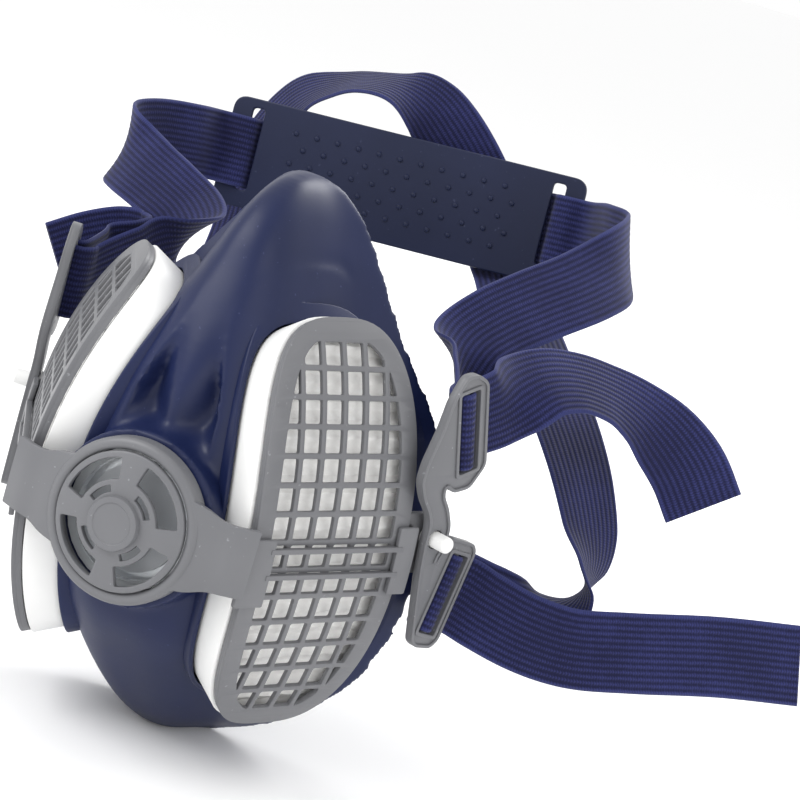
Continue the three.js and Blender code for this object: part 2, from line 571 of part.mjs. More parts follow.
// from the wearer's left bracket round behind the cradle, over it and down to the other side
const LOWER_ROUTE = [
  station(57.8, 67, -4.6, 0, 0.15, 0.99), station(65, 74.5, -7, 0, 0.25, 0.97),
  station(73, 82, -9, 0, 0.4, 0.92), station(79.5, 89.5, -8.4, 0, 0.65, 0.76),
  station(83, 94.5, -3.4, 0.15, 0.93, 0.35), station(82.5, 97.5, 5, 0.25, 0.96, 0.1),
  station(78.5, 101, 14, 0.4, 0.91, 0.1), station(71, 106, 24.5, 0.55, 0.83, 0.1),
  station(61, 114, 34, 0.68, 0.72, 0.1), station(50, 124, 41.5, 0.78, 0.62, 0.1),
  station(38, 138, 47.5, 0.83, 0.52, 0.15), station(26, 154, 53, 0.88, 0.4, 0.2),
  station(16, 167, 60.5, 0.93, 0.25, 0.2), station(6, 172, 71, 0.96, 0.15, 0.2),
  station(-2.5, 171, 83, 0.97, 0.05, 0.2), station(-10, 166, 92.5, 0.94, 0.1, 0.3),
  station(-19, 161, 98, 0.78, 0.45, 0.42), station(-29, 158, 100.6, 0.35, 0.88, 0.28),
  station(-38, 158, 99.4, -0.25, 0.93, 0.22), station(-46.5, 160, 94.5, -0.7, 0.65, 0.1),
  station(-53, 162, 86, -0.93, 0.3, 0), station(-56, 162, 75, -0.97, 0.2, 0),
  station(-56.5, 158.5, 63, -0.96, 0.25, 0), station(-55.5, 154, 51, -0.9, 0.38, 0.15),
  station(-53.5, 142, 38, -0.76, 0.55, 0.3), station(-52, 121, 23, -0.5, 0.6, 0.62),
  station(-52.5, 105, 11.5, -0.3, 0.5, 0.81), station(-53.5, 90, 3.5, -0.1, 0.3, 0.95),
  station(-54, 77, -0.5, 0, 0.15, 0.98),
];
const LOWER_RIGHT_TAIL = [
  station(-60.2, 62.8, -5.3, 0, 0.1, 0.99), station(-61.5, 72, -7, 0, 0, 1), station(-62.5, 84, -9.5, 0, 0, 1),
  station(-62.5, 96, -12, 0, 0, 1),
];

function makeStrap(stations) {
  const curve = new THREE.CatmullRomCurve3(stations.map(({ spot }) => spot), false, 'centripetal');
  const last = stations.length - 1;
  const rings = [];
  const ringAt = (share) => {
    const k = Math.min(Math.floor(share), last - 1);
    const middle = curve.getPoint(share / last);
    const ahead = curve.getTangent(share / last);
    const edge = stations[k].edge.clone().normalize().lerp(stations[k + 1].edge.clone().normalize(), share - k);
    edge.addScaledVector(ahead, -edge.dot(ahead)).setLength(STRAP_WIDTH / 2);
    const face = new THREE.Vector3().crossVectors(ahead, edge).setLength(STRAP_THICKNESS / 2);
    return [[1, 1], [-1, 1], [-1, -1], [1, -1]].map(([a, b]) => (
      middle.clone().addScaledVector(edge, a).addScaledVector(face, b)));
  };
  for (let k = 0; k < last; k += 1) {
    const steps = stations[k].spot.distanceTo(stations[k + 1].spot) > STRAP_LONG_STEP ? 2 : 1;
    for (let i = 0; i < steps; i += 1) {
      rings.push(ringAt(k + i / steps));
    }
  }
  rings.push(ringAt(last));
  return loft(rings);
}

const upperStrap = () => makeStrap([
  ...UPPER_RIGHT_TAIL.toReversed(), ...roundBar(UPPER_SLOT, -1).toReversed(), ...UPPER_RIGHT_SIDE.toReversed(),
  ...throughCradle(-1).toReversed(), ...throughCradle(1),
  ...UPPER_LEFT_SIDE, ...roundBar(UPPER_SLOT, 1), ...UPPER_LEFT_TAIL,
]);
const lowerStrap = () => makeStrap([
  ...LOWER_LEFT_TAIL.toReversed(), ...roundBar(LOWER_SLOT, 1).toReversed(), ...LOWER_ROUTE,
  ...roundBar(LOWER_SLOT, -1), ...LOWER_RIGHT_TAIL,
]);

// ---- valves ---------------------------------------------------------------------------------
function makeExhaleSeat() {
  const wall = prism(circle(EXHALE_SEAT_RADIUS), -4.4, -1.9, [circle(14.4)]);
  return forward(join(wall, spokedDisc(EXHALE_SEAT_RADIUS, 12, -5.9, -4.4)));
}
const makeExhaleFlap = () => forward(prism(circle(EXHALE_FLAP_RADIUS), -4, -3.3));
const makeInhaleSeat = () => seated(spokedDisc(SEAT_RADIUS, 11.6, seatFloor + GAP, seatFloor + 1.7));
const makeInhaleFlap = () => seated(prism(circle(INHALE_FLAP_RADIUS), seatFloor - 0.8, seatFloor - 0.2));

// ---- assembly -------------------------------------------------------------------------------
const mask = new THREE.Group();

function add(name, geometry, material) {
  geometry.computeVertexNormals();
  const mesh = new THREE.Mesh(geometry, material);
  mesh.name = name;
  mask.add(mesh);
}

add('facepiece', makeFacepiece(), NAVY_RUBBER);
add('exhale_valve_seat', makeExhaleSeat(), CLEAR_PLASTIC);
add('exhale_flap', makeExhaleFlap(), SILICONE);
add('valve_cover', makeValveCover(), GREY_PLASTIC);
add('yoke', makeYoke(), GREY_PLASTIC);

const sidePieces = [
  ['filter_grille', bent(makeGrille()), GREY_PLASTIC],
  ['filter_frame', bent(makeFrame()), WHITE_PLASTIC],
  ['filter_media', bent(makeMedia()), FILTER_FLEECE],
  ['filter_gasket', bent(makeGasket()), GASKET_FOAM],
  ['inhale_seat', makeInhaleSeat(), CLEAR_PLASTIC],
  ['inhale_flap', makeInhaleFlap(), SILICONE],
  ['bracket_pin', makePin(), WHITE_PLASTIC],
];
sidePieces.forEach(([name, geometry, material]) => {
  add(`left_${name}`, geometry, material);
  add(`right_${name}`, mirrored(geometry), material);
});
add('left_strap_bracket', makeBracket(0), GREY_PLASTIC);
add('right_strap_bracket', mirrored(makeBracket(RIGHT_SIDE_SWING)), GREY_PLASTIC);

add('head_cradle', makeCradle(), NAVY_PLASTIC);
add('upper_strap', upperStrap(), WEBBING);
add('lower_strap', lowerStrap(), WEBBING);

// the origin is on the ground, under the middle of everything
const box = new THREE.Box3().setFromObject(mask);
const middle = box.getCenter(new THREE.Vector3());
mask.position.set(-middle.x, -middle.y, -box.min.z);

export default mask;
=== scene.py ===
import math

import bmesh
import bpy
import numpy as np
from mathutils import Matrix, Vector


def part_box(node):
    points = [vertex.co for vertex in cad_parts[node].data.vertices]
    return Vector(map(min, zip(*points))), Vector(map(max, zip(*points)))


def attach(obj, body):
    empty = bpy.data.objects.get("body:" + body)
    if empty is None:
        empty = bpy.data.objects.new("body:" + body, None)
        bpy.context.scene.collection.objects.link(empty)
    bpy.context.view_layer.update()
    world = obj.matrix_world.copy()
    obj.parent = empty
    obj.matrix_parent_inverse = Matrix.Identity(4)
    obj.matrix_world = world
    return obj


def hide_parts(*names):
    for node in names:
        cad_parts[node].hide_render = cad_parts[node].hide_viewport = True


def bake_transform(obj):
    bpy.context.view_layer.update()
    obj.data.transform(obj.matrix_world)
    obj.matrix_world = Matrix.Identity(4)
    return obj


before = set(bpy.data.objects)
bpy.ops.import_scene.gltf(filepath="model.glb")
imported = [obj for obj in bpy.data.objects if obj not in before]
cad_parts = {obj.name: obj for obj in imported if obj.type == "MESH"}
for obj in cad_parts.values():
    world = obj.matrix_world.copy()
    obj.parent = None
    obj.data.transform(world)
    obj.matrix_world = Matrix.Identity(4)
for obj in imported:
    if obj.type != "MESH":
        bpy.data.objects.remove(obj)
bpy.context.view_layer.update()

# Lengths are millimetres in the mask's own frame: X is the wearer's left, -Y is forwards, +Z is up,
# and the origin is the centre of the exhalation valve's front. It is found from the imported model.
MM = 0.001
FLAP_FRONT = 3.3
flap_low, flap_high = (np.array(corner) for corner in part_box("exhale_flap"))
ORIGIN = (flap_low + flap_high) / 2
ORIGIN[1] = flap_low[1] - FLAP_FRONT * MM


def in_world(points):
    return ORIGIN + np.asarray(points, float) * MM


# ---- driving dimensions ---------------------------------------------------------------------
# Most repeat the imported model. The side plates' upper lobes and slots, some runs of the straps and
# the thickness of the grids, the hook and the tab differ from it.
FACE_LEVELS = [
    (83, 43, 3, 49), (81, 35, 8, 52), (76, 27.5, 13.5, 55), (69, 22, 18.5, 57),
    (60, 18, 24.5, 58), (50, 13.5, 31.5, 59), (40, 9.5, 40, 60), (30, 6.5, 47, 60.5),
    (15, 4.2, 51, 61), (0, 4, 51.5, 62), (-15, 5, 50, 63.5), (-25, 8.5, 47.5, 64.5),
    (-36, 18, 42.5, 65), (-47, 29, 33.5, 65), (-55, 38.5, 23.5, 64), (-59, 45, 15, 63),
    (-60.5, 48.5, 12, 62),
]
FACE_OUTLINE = [(0, 0), (0.18, 0.015), (0.36, 0.12), (0.56, 0.42), (0.74, 0.74), (1, 1)]
FACE_WALL = 2.2
SEAL_LIP = 8
SEAL_THICKNESS = 2

FILTER_CENTRE = np.array([41, 22.5, 7])
FILTER_YAW = math.radians(60)
FILTER_ROLL = math.radians(5)
FILTER_LEAN = math.radians(2)
FILTER_BEND = 104
FILTER_HALF = (22, 52.5)
FILTER_POWER = 3
GRILLE_BACK = -2.4
GRID_BACK = -1.3
GRILLE_RIM = 4.6
GRID_PITCH = (6.1, 6.75)
GRID_COLUMNS = 3      # on each side of the middle
GRID_ROWS = 7
GRID_BAR = 1.3
GRID_SLICE = GRID_PITCH[1] / 2    # length of each flat of the grille's bend
FRAME_FRONT = -2.7
FRAME_BACK = -13.0
FRAME_WALL = 1.8
PLEAT_PITCH = 4.4
PLEAT_DEPTH = 1.0
FLANGE_FRONT = -14.9
PORT_FLANGE = 3.2
PORT_BORE = 13.5
COLLAR_HEIGHT = 4
RIM_PEAK = 4.5
# Added to the seal's thickness, as smoothing rounds its edge. At this value the cavity breaks
# through the side walls just in front of the seal. At 0 it doesn't.
EDGE_ROUNDING = 1.6
SEAL_HOLD = 0.7       # hold of the seal's edge against smoothing, where a flange has 1
SEAL_BAND = 7         # the hold ends this far from the seal's rear edge
VALLEY_DEPTH = 7.0
VALLEY_WIDTH = 4.6
SMOOTHING_STEPS = [0.6, 0.6, -0.62] * 10
SEAT_RADIUS = 15.6

RING_RADIUS = 19.4
RING_INSIDE = 16.6
COVER_RADIUS = 16.3
HOUSING_RADIUS = 20.8
HOUSING_FRONT = 1.6
EXHALE_SEAT_RADIUS = 16.5
ARM_HEIGHT = 16.5
ARM_RISE = 0.64
YOKE_THICKNESS = 2.1

BRACKET_YAW = math.radians(68)
BRACKET_ORIGIN = np.array([54.8, 43.5, 9])
PIN_SPOT = np.array([3.9, 1.4])
RIGHT_SIDE_SWING = math.radians(-8)
SLOT = (6.2, 20.8)
UPPER_SLOT = ((3.9, 28.6), math.radians(-21))
LOWER_SLOT = ((12.5, -12.5), math.radians(10.5))
SLOT_BAR = (1.6, 1.2)
BRACKET_HALF = 1.2

STRAP_WIDTH = 20
STRAP_THICKNESS = 1.2
STRAP_SLACK = 0.5
CRADLE_CENTRE = np.array([-18, 156, 72.5])
CRADLE_SIZE = (103, 31, 1.8)
CRADLE_SLOT = (3.6, 23.5)
CRADLE_SLOT_REACH = 44


# ---- camera and studio ----------------------------------------------------------------------
def make_camera():
    azimuth, elevation, roll = (math.radians(a) for a in (19.0, 10.9, 17.0))
    back = Vector((
        math.sin(azimuth) * math.cos(elevation), -math.cos(azimuth) * math.cos(elevation),
        math.sin(elevation),
    ))
    level = Vector((math.cos(azimuth), math.sin(azimuth), 0))
    above = back.cross(level)
    right = level * math.cos(roll) + above * math.sin(roll)
    up = above * math.cos(roll) - level * math.sin(roll)
    camera = bpy.data.objects.new("camera", bpy.data.cameras.new("camera"))
    camera.data.angle = math.radians(17.5)
    spot = Vector(in_world((235.1, -524.9, 155.4)))
    camera.matrix_world = Matrix.Translation(spot) @ Matrix((right, up, back)).transposed().to_4x4()
    camera.data.clip_start = 0.01
    bpy.context.scene.collection.objects.link(camera)
    bpy.context.scene.camera = camera


def area_light(name, spot, target, width, power):
    light = bpy.data.lights.new(name, "AREA")
    light.size = width
    light.energy = power
    lamp = bpy.data.objects.new(name, light)
    lamp.location = spot
    lamp.rotation_euler = (Vector(target) - Vector(spot)).to_track_quat("-Z", "Y").to_euler()
    bpy.context.scene.collection.objects.link(lamp)


def make_studio():
    scene = bpy.context.scene
    scene.view_settings.view_transform = "Standard"
    world = bpy.data.worlds.new("studio")
    world.use_nodes = True
    background = world.node_tree.nodes["Background"]
    background.inputs["Color"].default_value = (1, 1, 1, 1)
    background.inputs["Strength"].default_value = 1.0
    scene.world = world
    area_light("key", (-0.75, -0.75, 0.95), (-0.02, -0.05, 0.06), 0.7, 10)
    area_light("fill", (0.95, -0.55, 0.45), (0, 0, 0.06), 0.8, 3)
    area_light("rim", (0.2, 0.9, 0.8), (0, 0.05, 0.1), 0.5, 6)
    bpy.ops.mesh.primitive_plane_add(size=60, location=(0, 0, 0))
    floor = bpy.context.object
    floor.name = "floor"
    floor.data.materials.append(plain_surface("floor_paper", (0.97, 0.97, 0.97), 0.95))


# ---- materials ------------------------------------------------------------------------------
class Nodes:
    """A short way to wire a material: each call adds a node and returns its first output."""

    def __init__(self, name):
        self.material = bpy.data.materials.new(name)
        self.material.use_nodes = True
        self.tree = self.material.node_tree
        self.shader = self.tree.nodes["Principled BSDF"]

    def put(self, socket, value):
        if isinstance(value, bpy.types.NodeSocket):
            self.tree.links.new(value, socket)
        else:
            socket.default_value = value

    def add(self, kind, inputs=(), output=0, **settings):
        node = self.tree.nodes.new(kind)
        for key, value in settings.items():
            setattr(node, key, value)
        for key, value in dict(inputs).items():
            self.put(node.inputs[key], value)
        return node.outputs[output]

    def math(self, operation, a, b=0.0):
        return self.add("ShaderNodeMath", {0: a, 1: b}, operation=operation)

    def noise(self, scale, detail=3.0, roughness=0.5):
        place = self.add("ShaderNodeTexCoord", output=3)
        return self.add("ShaderNodeTexNoise", {
            "Vector": place, "Scale": scale, "Detail": detail, "Roughness": roughness})

    def ramp(self, value, low, high, start=0.0, end=1.0):
        node = self.tree.nodes.new("ShaderNodeMapRange")
        self.put(node.inputs["Value"], value)
        node.inputs["From Min"].default_value = start
        node.inputs["From Max"].default_value = end
        node.inputs["To Min"].default_value = low
        node.inputs["To Max"].default_value = high
        return node.outputs[0]

    def mix(self, share, first, second):
        node = self.tree.nodes.new("ShaderNodeMix")
        node.data_type = "RGBA"
        self.put(node.inputs["Factor"], share)
        self.put(node.inputs[6], first if isinstance(first, bpy.types.NodeSocket) else (*first, 1))
        self.put(node.inputs[7], second if isinstance(second, bpy.types.NodeSocket) else (*second, 1))
        return node.outputs[2]

    def bump(self, height, strength, distance):
        return self.add("ShaderNodeBump", {
            "Height": height, "Strength": strength, "Distance": distance * MM})

    def finish(self, **values):
        for key, value in values.items():
            socket = self.shader.inputs[key.replace("_", " ")]
            self.put(socket, value)
        return self.material


def plain_surface(name, colour, roughness):
    nodes = Nodes(name)
    shade = nodes.ramp(nodes.noise(3.0), 0.97, 1.03)
    tone = nodes.mix(shade, [c * 0.96 for c in colour], colour)
    return nodes.finish(Base_Color=tone, Roughness=roughness)


def moulded(name, dark, light, roughness, grain=0.12, coat=0.0, specular=0.5):
    """Moulded plastic or rubber: a cloudy tone, a fine matt grain and a few pale specks of dust."""
    nodes = Nodes(name)
    cloud = nodes.noise(28.0, 4.0)
    fine = nodes.noise(2600.0, 2.0)
    specks = nodes.ramp(nodes.noise(900.0, 1.0), 0.0, 1.0, 0.74, 0.8)
    body = nodes.mix(nodes.ramp(cloud, 0, 1, 0.3, 0.7), dark, light)
    dust = [min(1, c * 2.2 + 0.05) for c in light]
    dusty = nodes.mix(nodes.math("MULTIPLY", specks, 0.35), body, dust)
    rough = nodes.math("ADD", nodes.ramp(cloud, roughness - 0.05, roughness + 0.05, 0.3, 0.7),
                       nodes.ramp(fine, -0.03, 0.03))
    normal = nodes.bump(fine, grain, 0.05)
    nodes.finish(Coat_Weight=coat, Coat_Roughness=0.25, Specular_IOR_Level=specular)
    return nodes.finish(Base_Color=dusty, Roughness=rough, Normal=normal)


def webbing_material():
    """Ribbed elastic: u runs along the strap and v across it, both in metres."""
    nodes = Nodes("ribbed_elastic")
    place = nodes.add("ShaderNodeTexCoord", output=2)
    split = nodes.tree.nodes.new("ShaderNodeSeparateXYZ")
    nodes.put(split.inputs[0], place)
    along, across = split.outputs[0], split.outputs[1]
    rib_phase = nodes.math("MULTIPLY", across, 2 * math.pi / (RIB_PITCH * MM))
    rib = nodes.ramp(nodes.math("COSINE", rib_phase), 0.0, 1.0, -1.0, 1.0)
    # the yarns slope one way on one side of a rib and the other way on the other side
    fold = nodes.math("ABSOLUTE", nodes.math("SINE", nodes.math("MULTIPLY", rib_phase, 0.5)))
    slant = nodes.math("MULTIPLY", fold, 2.4)
    turns = nodes.math("MULTIPLY", along, 2 * math.pi / (YARN_PITCH * MM))
    yarn_phase = nodes.math("ADD", turns, slant)
    yarn = nodes.ramp(nodes.math("SINE", yarn_phase), 0.0, 1.0, -1.0, 1.0)
    fibre = nodes.noise(1800.0, 3.0)
    cloud = nodes.noise(45.0, 3.0)
    thread = nodes.math("MULTIPLY", yarn, nodes.ramp(rib, 0.35, 1.0))
    ribbed = nodes.math("ADD", nodes.math("MULTIPLY", rib, 0.24), nodes.math("MULTIPLY", thread, 0.36))
    tone = nodes.math("ADD", ribbed, nodes.ramp(fibre, -0.22, 0.28))
    faded = nodes.math("ADD", tone, nodes.ramp(cloud, -0.15, 0.15, 0.3, 0.7))
    weave = nodes.mix(nodes.ramp(faded, 0, 1, 0.1, 0.95), (0.005, 0.006, 0.034), (0.036, 0.043, 0.17))
    edge = nodes.ramp(nodes.math("ABSOLUTE", across), 0.0, 0.45, SELVEDGE * MM, STRAP_WIDTH / 2 * MM)
    colour = nodes.mix(edge, weave, (0.05, 0.062, 0.21))
    height = nodes.math("ADD", nodes.math("MULTIPLY", rib, 0.7), nodes.math("MULTIPLY", thread, 0.4))
    normal = nodes.bump(height, 0.8, 0.16)
    nodes.finish(Sheen_Weight=0.1, Sheen_Roughness=0.5, Specular_IOR_Level=0.2)
    return nodes.finish(Base_Color=colour, Roughness=0.8, Normal=normal)


def fleece_material():
    nodes = Nodes("filter_fleece")
    fibre = nodes.noise(1400.0, 5.0, 0.7)
    cloud = nodes.noise(90.0, 3.0)
    tone = nodes.mix(nodes.ramp(cloud, 0, 1, 0.35, 0.7), (0.92, 0.91, 0.89), (0.97, 0.97, 0.96))
    worn = nodes.mix(nodes.ramp(fibre, 0, 1, 0.3, 0.75), [0.88, 0.87, 0.85], tone)
    normal = nodes.bump(fibre, 0.5, 0.15)
    return nodes.finish(Base_Color=worn, Roughness=0.95, Normal=normal)


def clear_material():
    nodes = Nodes("clear_plastic")
    haze = nodes.noise(160.0, 3.0)
    tone = nodes.mix(haze, (0.62, 0.66, 0.70), (0.86, 0.88, 0.90))
    nodes.finish(Transmission_Weight=0.45, IOR=1.49, Coat_Weight=0.6, Coat_Roughness=0.08)
    return nodes.finish(Base_Color=tone, Roughness=nodes.ramp(haze, 0.12, 0.3))


RIB_PITCH = 1.55
RIB_HEIGHT = 0.09
YARN_PITCH = 0.62
SELVEDGE = 8.9
NAVY_RUBBER = moulded(
    "navy_rubber", (0.0065, 0.0115, 0.047), (0.010, 0.0165, 0.065), 0.42, 0.10, 0.0, 0.28)
CRADLE_PLASTIC = moulded(
    "cradle_plastic", (0.007, 0.011, 0.036), (0.010, 0.015, 0.048), 0.45, 0.25, 0.0, 0.3)
GREY_PLASTIC = moulded(
    "grey_plastic", (0.128, 0.130, 0.140), (0.150, 0.152, 0.162), 0.42, 0.14, 0.05, 0.4)
WHITE_PLASTIC = moulded("white_plastic", (0.80, 0.80, 0.79), (0.86, 0.86, 0.85), 0.42, 0.08, 0.1)
SILICONE = moulded("silicone", (0.42, 0.44, 0.47), (0.5, 0.52, 0.55), 0.35, 0.05, 0.2)
GASKET_FOAM = moulded("gasket_foam", (0.02, 0.02, 0.024), (0.03, 0.03, 0.035), 0.85, 0.6)
WEBBING = webbing_material()
FLEECE = fleece_material()
CLEAR = clear_material()


# ---- meshes ---------------------------------------------------------------------------------
def show(name, mesh, material, sharp=38):
    """A piece of the object from a mesh in millimetres."""
    points = np.empty(len(mesh.vertices) * 3)
    mesh.vertices.foreach_get("co", points)
    mesh.vertices.foreach_set("co", in_world(points.reshape(-1, 3)).ravel())
    mesh.name = name
    mesh.materials.clear()
    mesh.materials.append(material)
    mesh.shade_smooth()
    mesh.set_sharp_from_angle(angle=math.radians(sharp))
    thing = bpy.data.objects.new(name, mesh)
    bpy.context.scene.collection.objects.link(thing)
    return thing


def mesh_of(points, faces):
    mesh = bpy.data.meshes.new("shape")
    mesh.from_pydata(np.asarray(points, float).tolist(), [], faces)
    return facing_out(mesh)


def facing_out(mesh):
    work = bmesh.new()
    work.from_mesh(mesh)
    bmesh.ops.recalc_face_normals(work, faces=work.faces[:])
    work.to_mesh(mesh)
    work.free()
    return mesh


def mapped(mesh, place):
    """The mesh with every point moved by place, which takes and gives an array of points."""
    points = np.empty(len(mesh.vertices) * 3)
    mesh.vertices.foreach_get("co", points)
    mesh.vertices.foreach_set("co", np.ascontiguousarray(place(points.reshape(-1, 3)), float).ravel())
    mesh.update()
    return mesh


def mirrored(mesh):
    copy = mapped(mesh.copy(), lambda p: p * (-1, 1, 1))
    copy.flip_normals()
    return copy


def joined(*meshes):
    work = bmesh.new()
    for mesh in meshes:
        work.from_mesh(mesh)
    whole = bpy.data.meshes.new("shape")
    work.to_mesh(whole)
    work.free()
    return whole


def with_modifiers(mesh, *modifiers):
    """The mesh after modifiers, each a kind and its settings. Its object setting may be a mesh."""
    holder = bpy.data.objects.new("holder", mesh)
    helpers = [holder]
    bpy.context.scene.collection.objects.link(holder)
    for kind, settings in modifiers:
        modifier = holder.modifiers.new(kind, kind)
        for key, value in settings.items():
            if isinstance(value, bpy.types.Mesh):
                tool = bpy.data.objects.new("tool", value)
                bpy.context.scene.collection.objects.link(tool)
                helpers.append(tool)
                value = tool
            setattr(modifier, key, value)
    graph = bpy.context.evaluated_depsgraph_get()
    result = bpy.data.meshes.new_from_object(holder.evaluated_get(graph))
    for helper in helpers:
        bpy.data.objects.remove(helper)
    return result


def loft(rings):
    """A closed skin through rings of equal length."""
    rings = np.asarray(rings, float)
    steps, count = rings.shape[:2]
    points = rings.reshape(-1, 3).tolist()
    faces = [
        (r * count + i, r * count + (i + 1) % count,
         (r + 1) * count + (i + 1) % count, (r + 1) * count + i)
        for r in range(steps - 1) for i in range(count)
    ]
    for first, flip in ((0, True), ((steps - 1) * count, False)):
        points.append(rings[first // count].mean(axis=0).tolist())
        for i in range(count):
            pair = (first + i, first + (i + 1) % count)
            faces.append((len(points) - 1, *(pair[::-1] if flip else pair)))
    return mesh_of(points, faces)


def smooth_path(points, steps):
    """A centripetal Catmull-Rom curve through the points, with steps samples on each stretch."""
    points = np.asarray(points, float)
    ends = np.vstack([2 * points[0] - points[1], points, 2 * points[-1] - points[-2]])
    samples = []
    for k in range(1, len(ends) - 2):
        a, b, c, d = ends[k - 1:k + 3]
        t0, t1, t2 = (max(np.linalg.norm(q - p), 1e-6) ** 0.5 for p, q in ((a, b), (b, c), (c, d)))
        leave = ((b - a) / t0 - (c - a) / (t0 + t1) + (c - b) / t1) * t1
        reach = ((c - b) / t1 - (d - b) / (t1 + t2) + (d - c) / t2) * t1
        for t in np.arange(steps) / steps:
            samples.append((2 * t**3 - 3 * t**2 + 1) * b + (t**3 - 2 * t**2 + t) * leave
                           + (3 * t**2 - 2 * t**3) * c + (t**3 - t**2) * reach)
    samples.append(points[-1])
    return np.array(samples)


def circle(radius, count=64, centre=(0, 0)):
    angles = np.arange(count) / count * 2 * math.pi
    return np.stack([centre[0] + radius * np.cos(angles), centre[1] + radius * np.sin(angles)], axis=1)


def rounded(polygon, radius, steps=4):
    """A polygon with its corners cut to arcs."""
    polygon = np.asarray(polygon, float)
    points = []
    for k, corner in enumerate(polygon):
        before, after = polygon[k - 1] - corner, polygon[(k + 1) % len(polygon)] - corner
        reach = min(radius, np.linalg.norm(before) * 0.45, np.linalg.norm(after) * 0.45)
        start = corner + before / np.linalg.norm(before) * reach
        end = corner + after / np.linalg.norm(after) * reach
        for t in np.linspace(0, 1, steps + 1):
            points.append((1 - t) ** 2 * start + 2 * t * (1 - t) * corner + t**2 * end)
    return np.array(points)


def rectangle(width, height, centre=(0, 0), lean=0.0):
    corners = np.array([(-1, -1), (1, -1), (1, 1), (-1, 1)]) * (width / 2, height / 2)
    turn = np.array([(math.cos(lean), math.sin(lean)), (-math.sin(lean), math.cos(lean))])
    return corners @ turn + centre


def ring_sector(inner, outer, start, end, steps=12):
    def arc(radius, first, last):
        angles = np.radians(np.linspace(first, last, steps))
        return np.stack([radius * np.cos(angles), radius * np.sin(angles)], axis=1)
    return np.vstack([arc(outer, start, end), arc(inner, end, start)])


def area_of(loop):
    x, y = np.asarray(loop, float).T
    return 0.5 * float(np.sum(x * np.roll(y, -1) - y * np.roll(x, -1)))


def plate(outline, bottom, top, holes=(), bevel=0.3):
    """A flat plate between two heights, with rounded edges along its outline and its holes."""
    curve = bpy.data.curves.new("plate", "CURVE")
    curve.dimensions = "2D"
    curve.fill_mode = "BOTH"
    curve.extrude = (top - bottom) / 2 - bevel
    curve.bevel_depth = bevel
    curve.bevel_resolution = 1
    curve.offset = -bevel
    for k, loop in enumerate([outline, *holes]):
        loop = np.asarray(loop, float)
        if (area_of(loop) > 0) != (k == 0):
            loop = loop[::-1]
        spline = curve.splines.new("POLY")
        spline.points.add(len(loop) - 1)
        spline.points.foreach_set("co", np.pad(loop, ((0, 0), (0, 2))).ravel())
        spline.use_cyclic_u = True
    holder = bpy.data.objects.new("plate", curve)
    bpy.context.scene.collection.objects.link(holder)
    graph = bpy.context.evaluated_depsgraph_get()
    mesh = bpy.data.meshes.new_from_object(holder.evaluated_get(graph))
    bpy.data.objects.remove(holder)
    work = bmesh.new()
    work.from_mesh(mesh)
    bmesh.ops.remove_doubles(work, verts=work.verts[:], dist=1e-4)
    work.to_mesh(mesh)
    work.free()
    return mapped(mesh, lambda p: p + (0, 0, (top + bottom) / 2))


def sliced(mesh, direction, start, end, step):
    """The mesh with its faces split along parallel planes, so that it can be bent."""
    work = bmesh.new()
    work.from_mesh(mesh)
    normal = Vector(direction)
    for distance in np.arange(start, end, step):
        bmesh.ops.bisect_plane(work, geom=work.verts[:] + work.edges[:] + work.faces[:],
                               plane_co=normal * distance, plane_no=normal)
    work.to_mesh(mesh)
    work.free()
    return mesh


def lathe(profile, steps=72):
    """A closed turned shape from (radius, height) points, about the Z axis."""
    angles = np.arange(steps) / steps * 2 * math.pi
    points, faces = [], []
    rings = []
    for radius, height in profile:
        if radius < 1e-6:
            rings.append([len(points)] * steps)
            points.append((0, 0, height))
        else:
            rings.append(list(range(len(points), len(points) + steps)))
            points.extend((radius * math.cos(a), radius * math.sin(a), height) for a in angles)
    closed = profile[0][0] > 1e-6 and profile[0] != profile[-1]
    pairs = list(zip(rings, rings[1:] + rings[:1])) if closed else list(zip(rings, rings[1:]))
    for low, high in pairs:
        for i in range(steps):
            j = (i + 1) % steps
            face = list(dict.fromkeys((low[i], low[j], high[j], high[i])))
            if len(face) > 2:
                faces.append(face)
    mesh = mesh_of(points, faces)
    work = bmesh.new()
    work.from_mesh(mesh)
    bmesh.ops.remove_doubles(work, verts=work.verts[:], dist=1e-5)
    bmesh.ops.recalc_face_normals(work, faces=work.faces[:])
    work.to_mesh(mesh)
    work.free()
    return mesh


def forward(mesh):
    """From the valve's own axes to the mask: drawn in the front view, with height towards the front."""
    return mapped(mesh, lambda p: np.stack([p[:, 0], -p[:, 2], p[:, 1]], axis=1))


# ---- side filters, drawn flat as (across, along, out) ---------------------------------------------
def rotation(axis, angle):
    return np.array(Matrix.Rotation(angle, 3, Vector(axis)))


def filter_axes():
    across = np.array([math.cos(FILTER_YAW), math.sin(FILTER_YAW), 0])
    out = np.array([math.sin(FILTER_YAW), -math.cos(FILTER_YAW), 0])
    along = np.array([0, 0, 1]) * math.cos(FILTER_LEAN) - out * math.sin(FILTER_LEAN)
    out = out * math.cos(FILTER_LEAN) + np.array([0, 0, 1]) * math.sin(FILTER_LEAN)
    turn = rotation(out, FILTER_ROLL)
    return turn @ across, turn @ along, out


ACROSS, ALONG, OUTWARD = filter_axes()


def on_filter(points):
    turn = points[:, 1:2] / FILTER_BEND
    radius = FILTER_BEND + points[:, 2:3]
    return (FILTER_CENTRE + points[:, 0:1] * ACROSS + radius * np.sin(turn) * ALONG
            + (radius * np.cos(turn) - FILTER_BEND) * OUTWARD)


def on_flat(points):
    return FILTER_CENTRE + points @ np.stack([ACROSS, ALONG, OUTWARD])


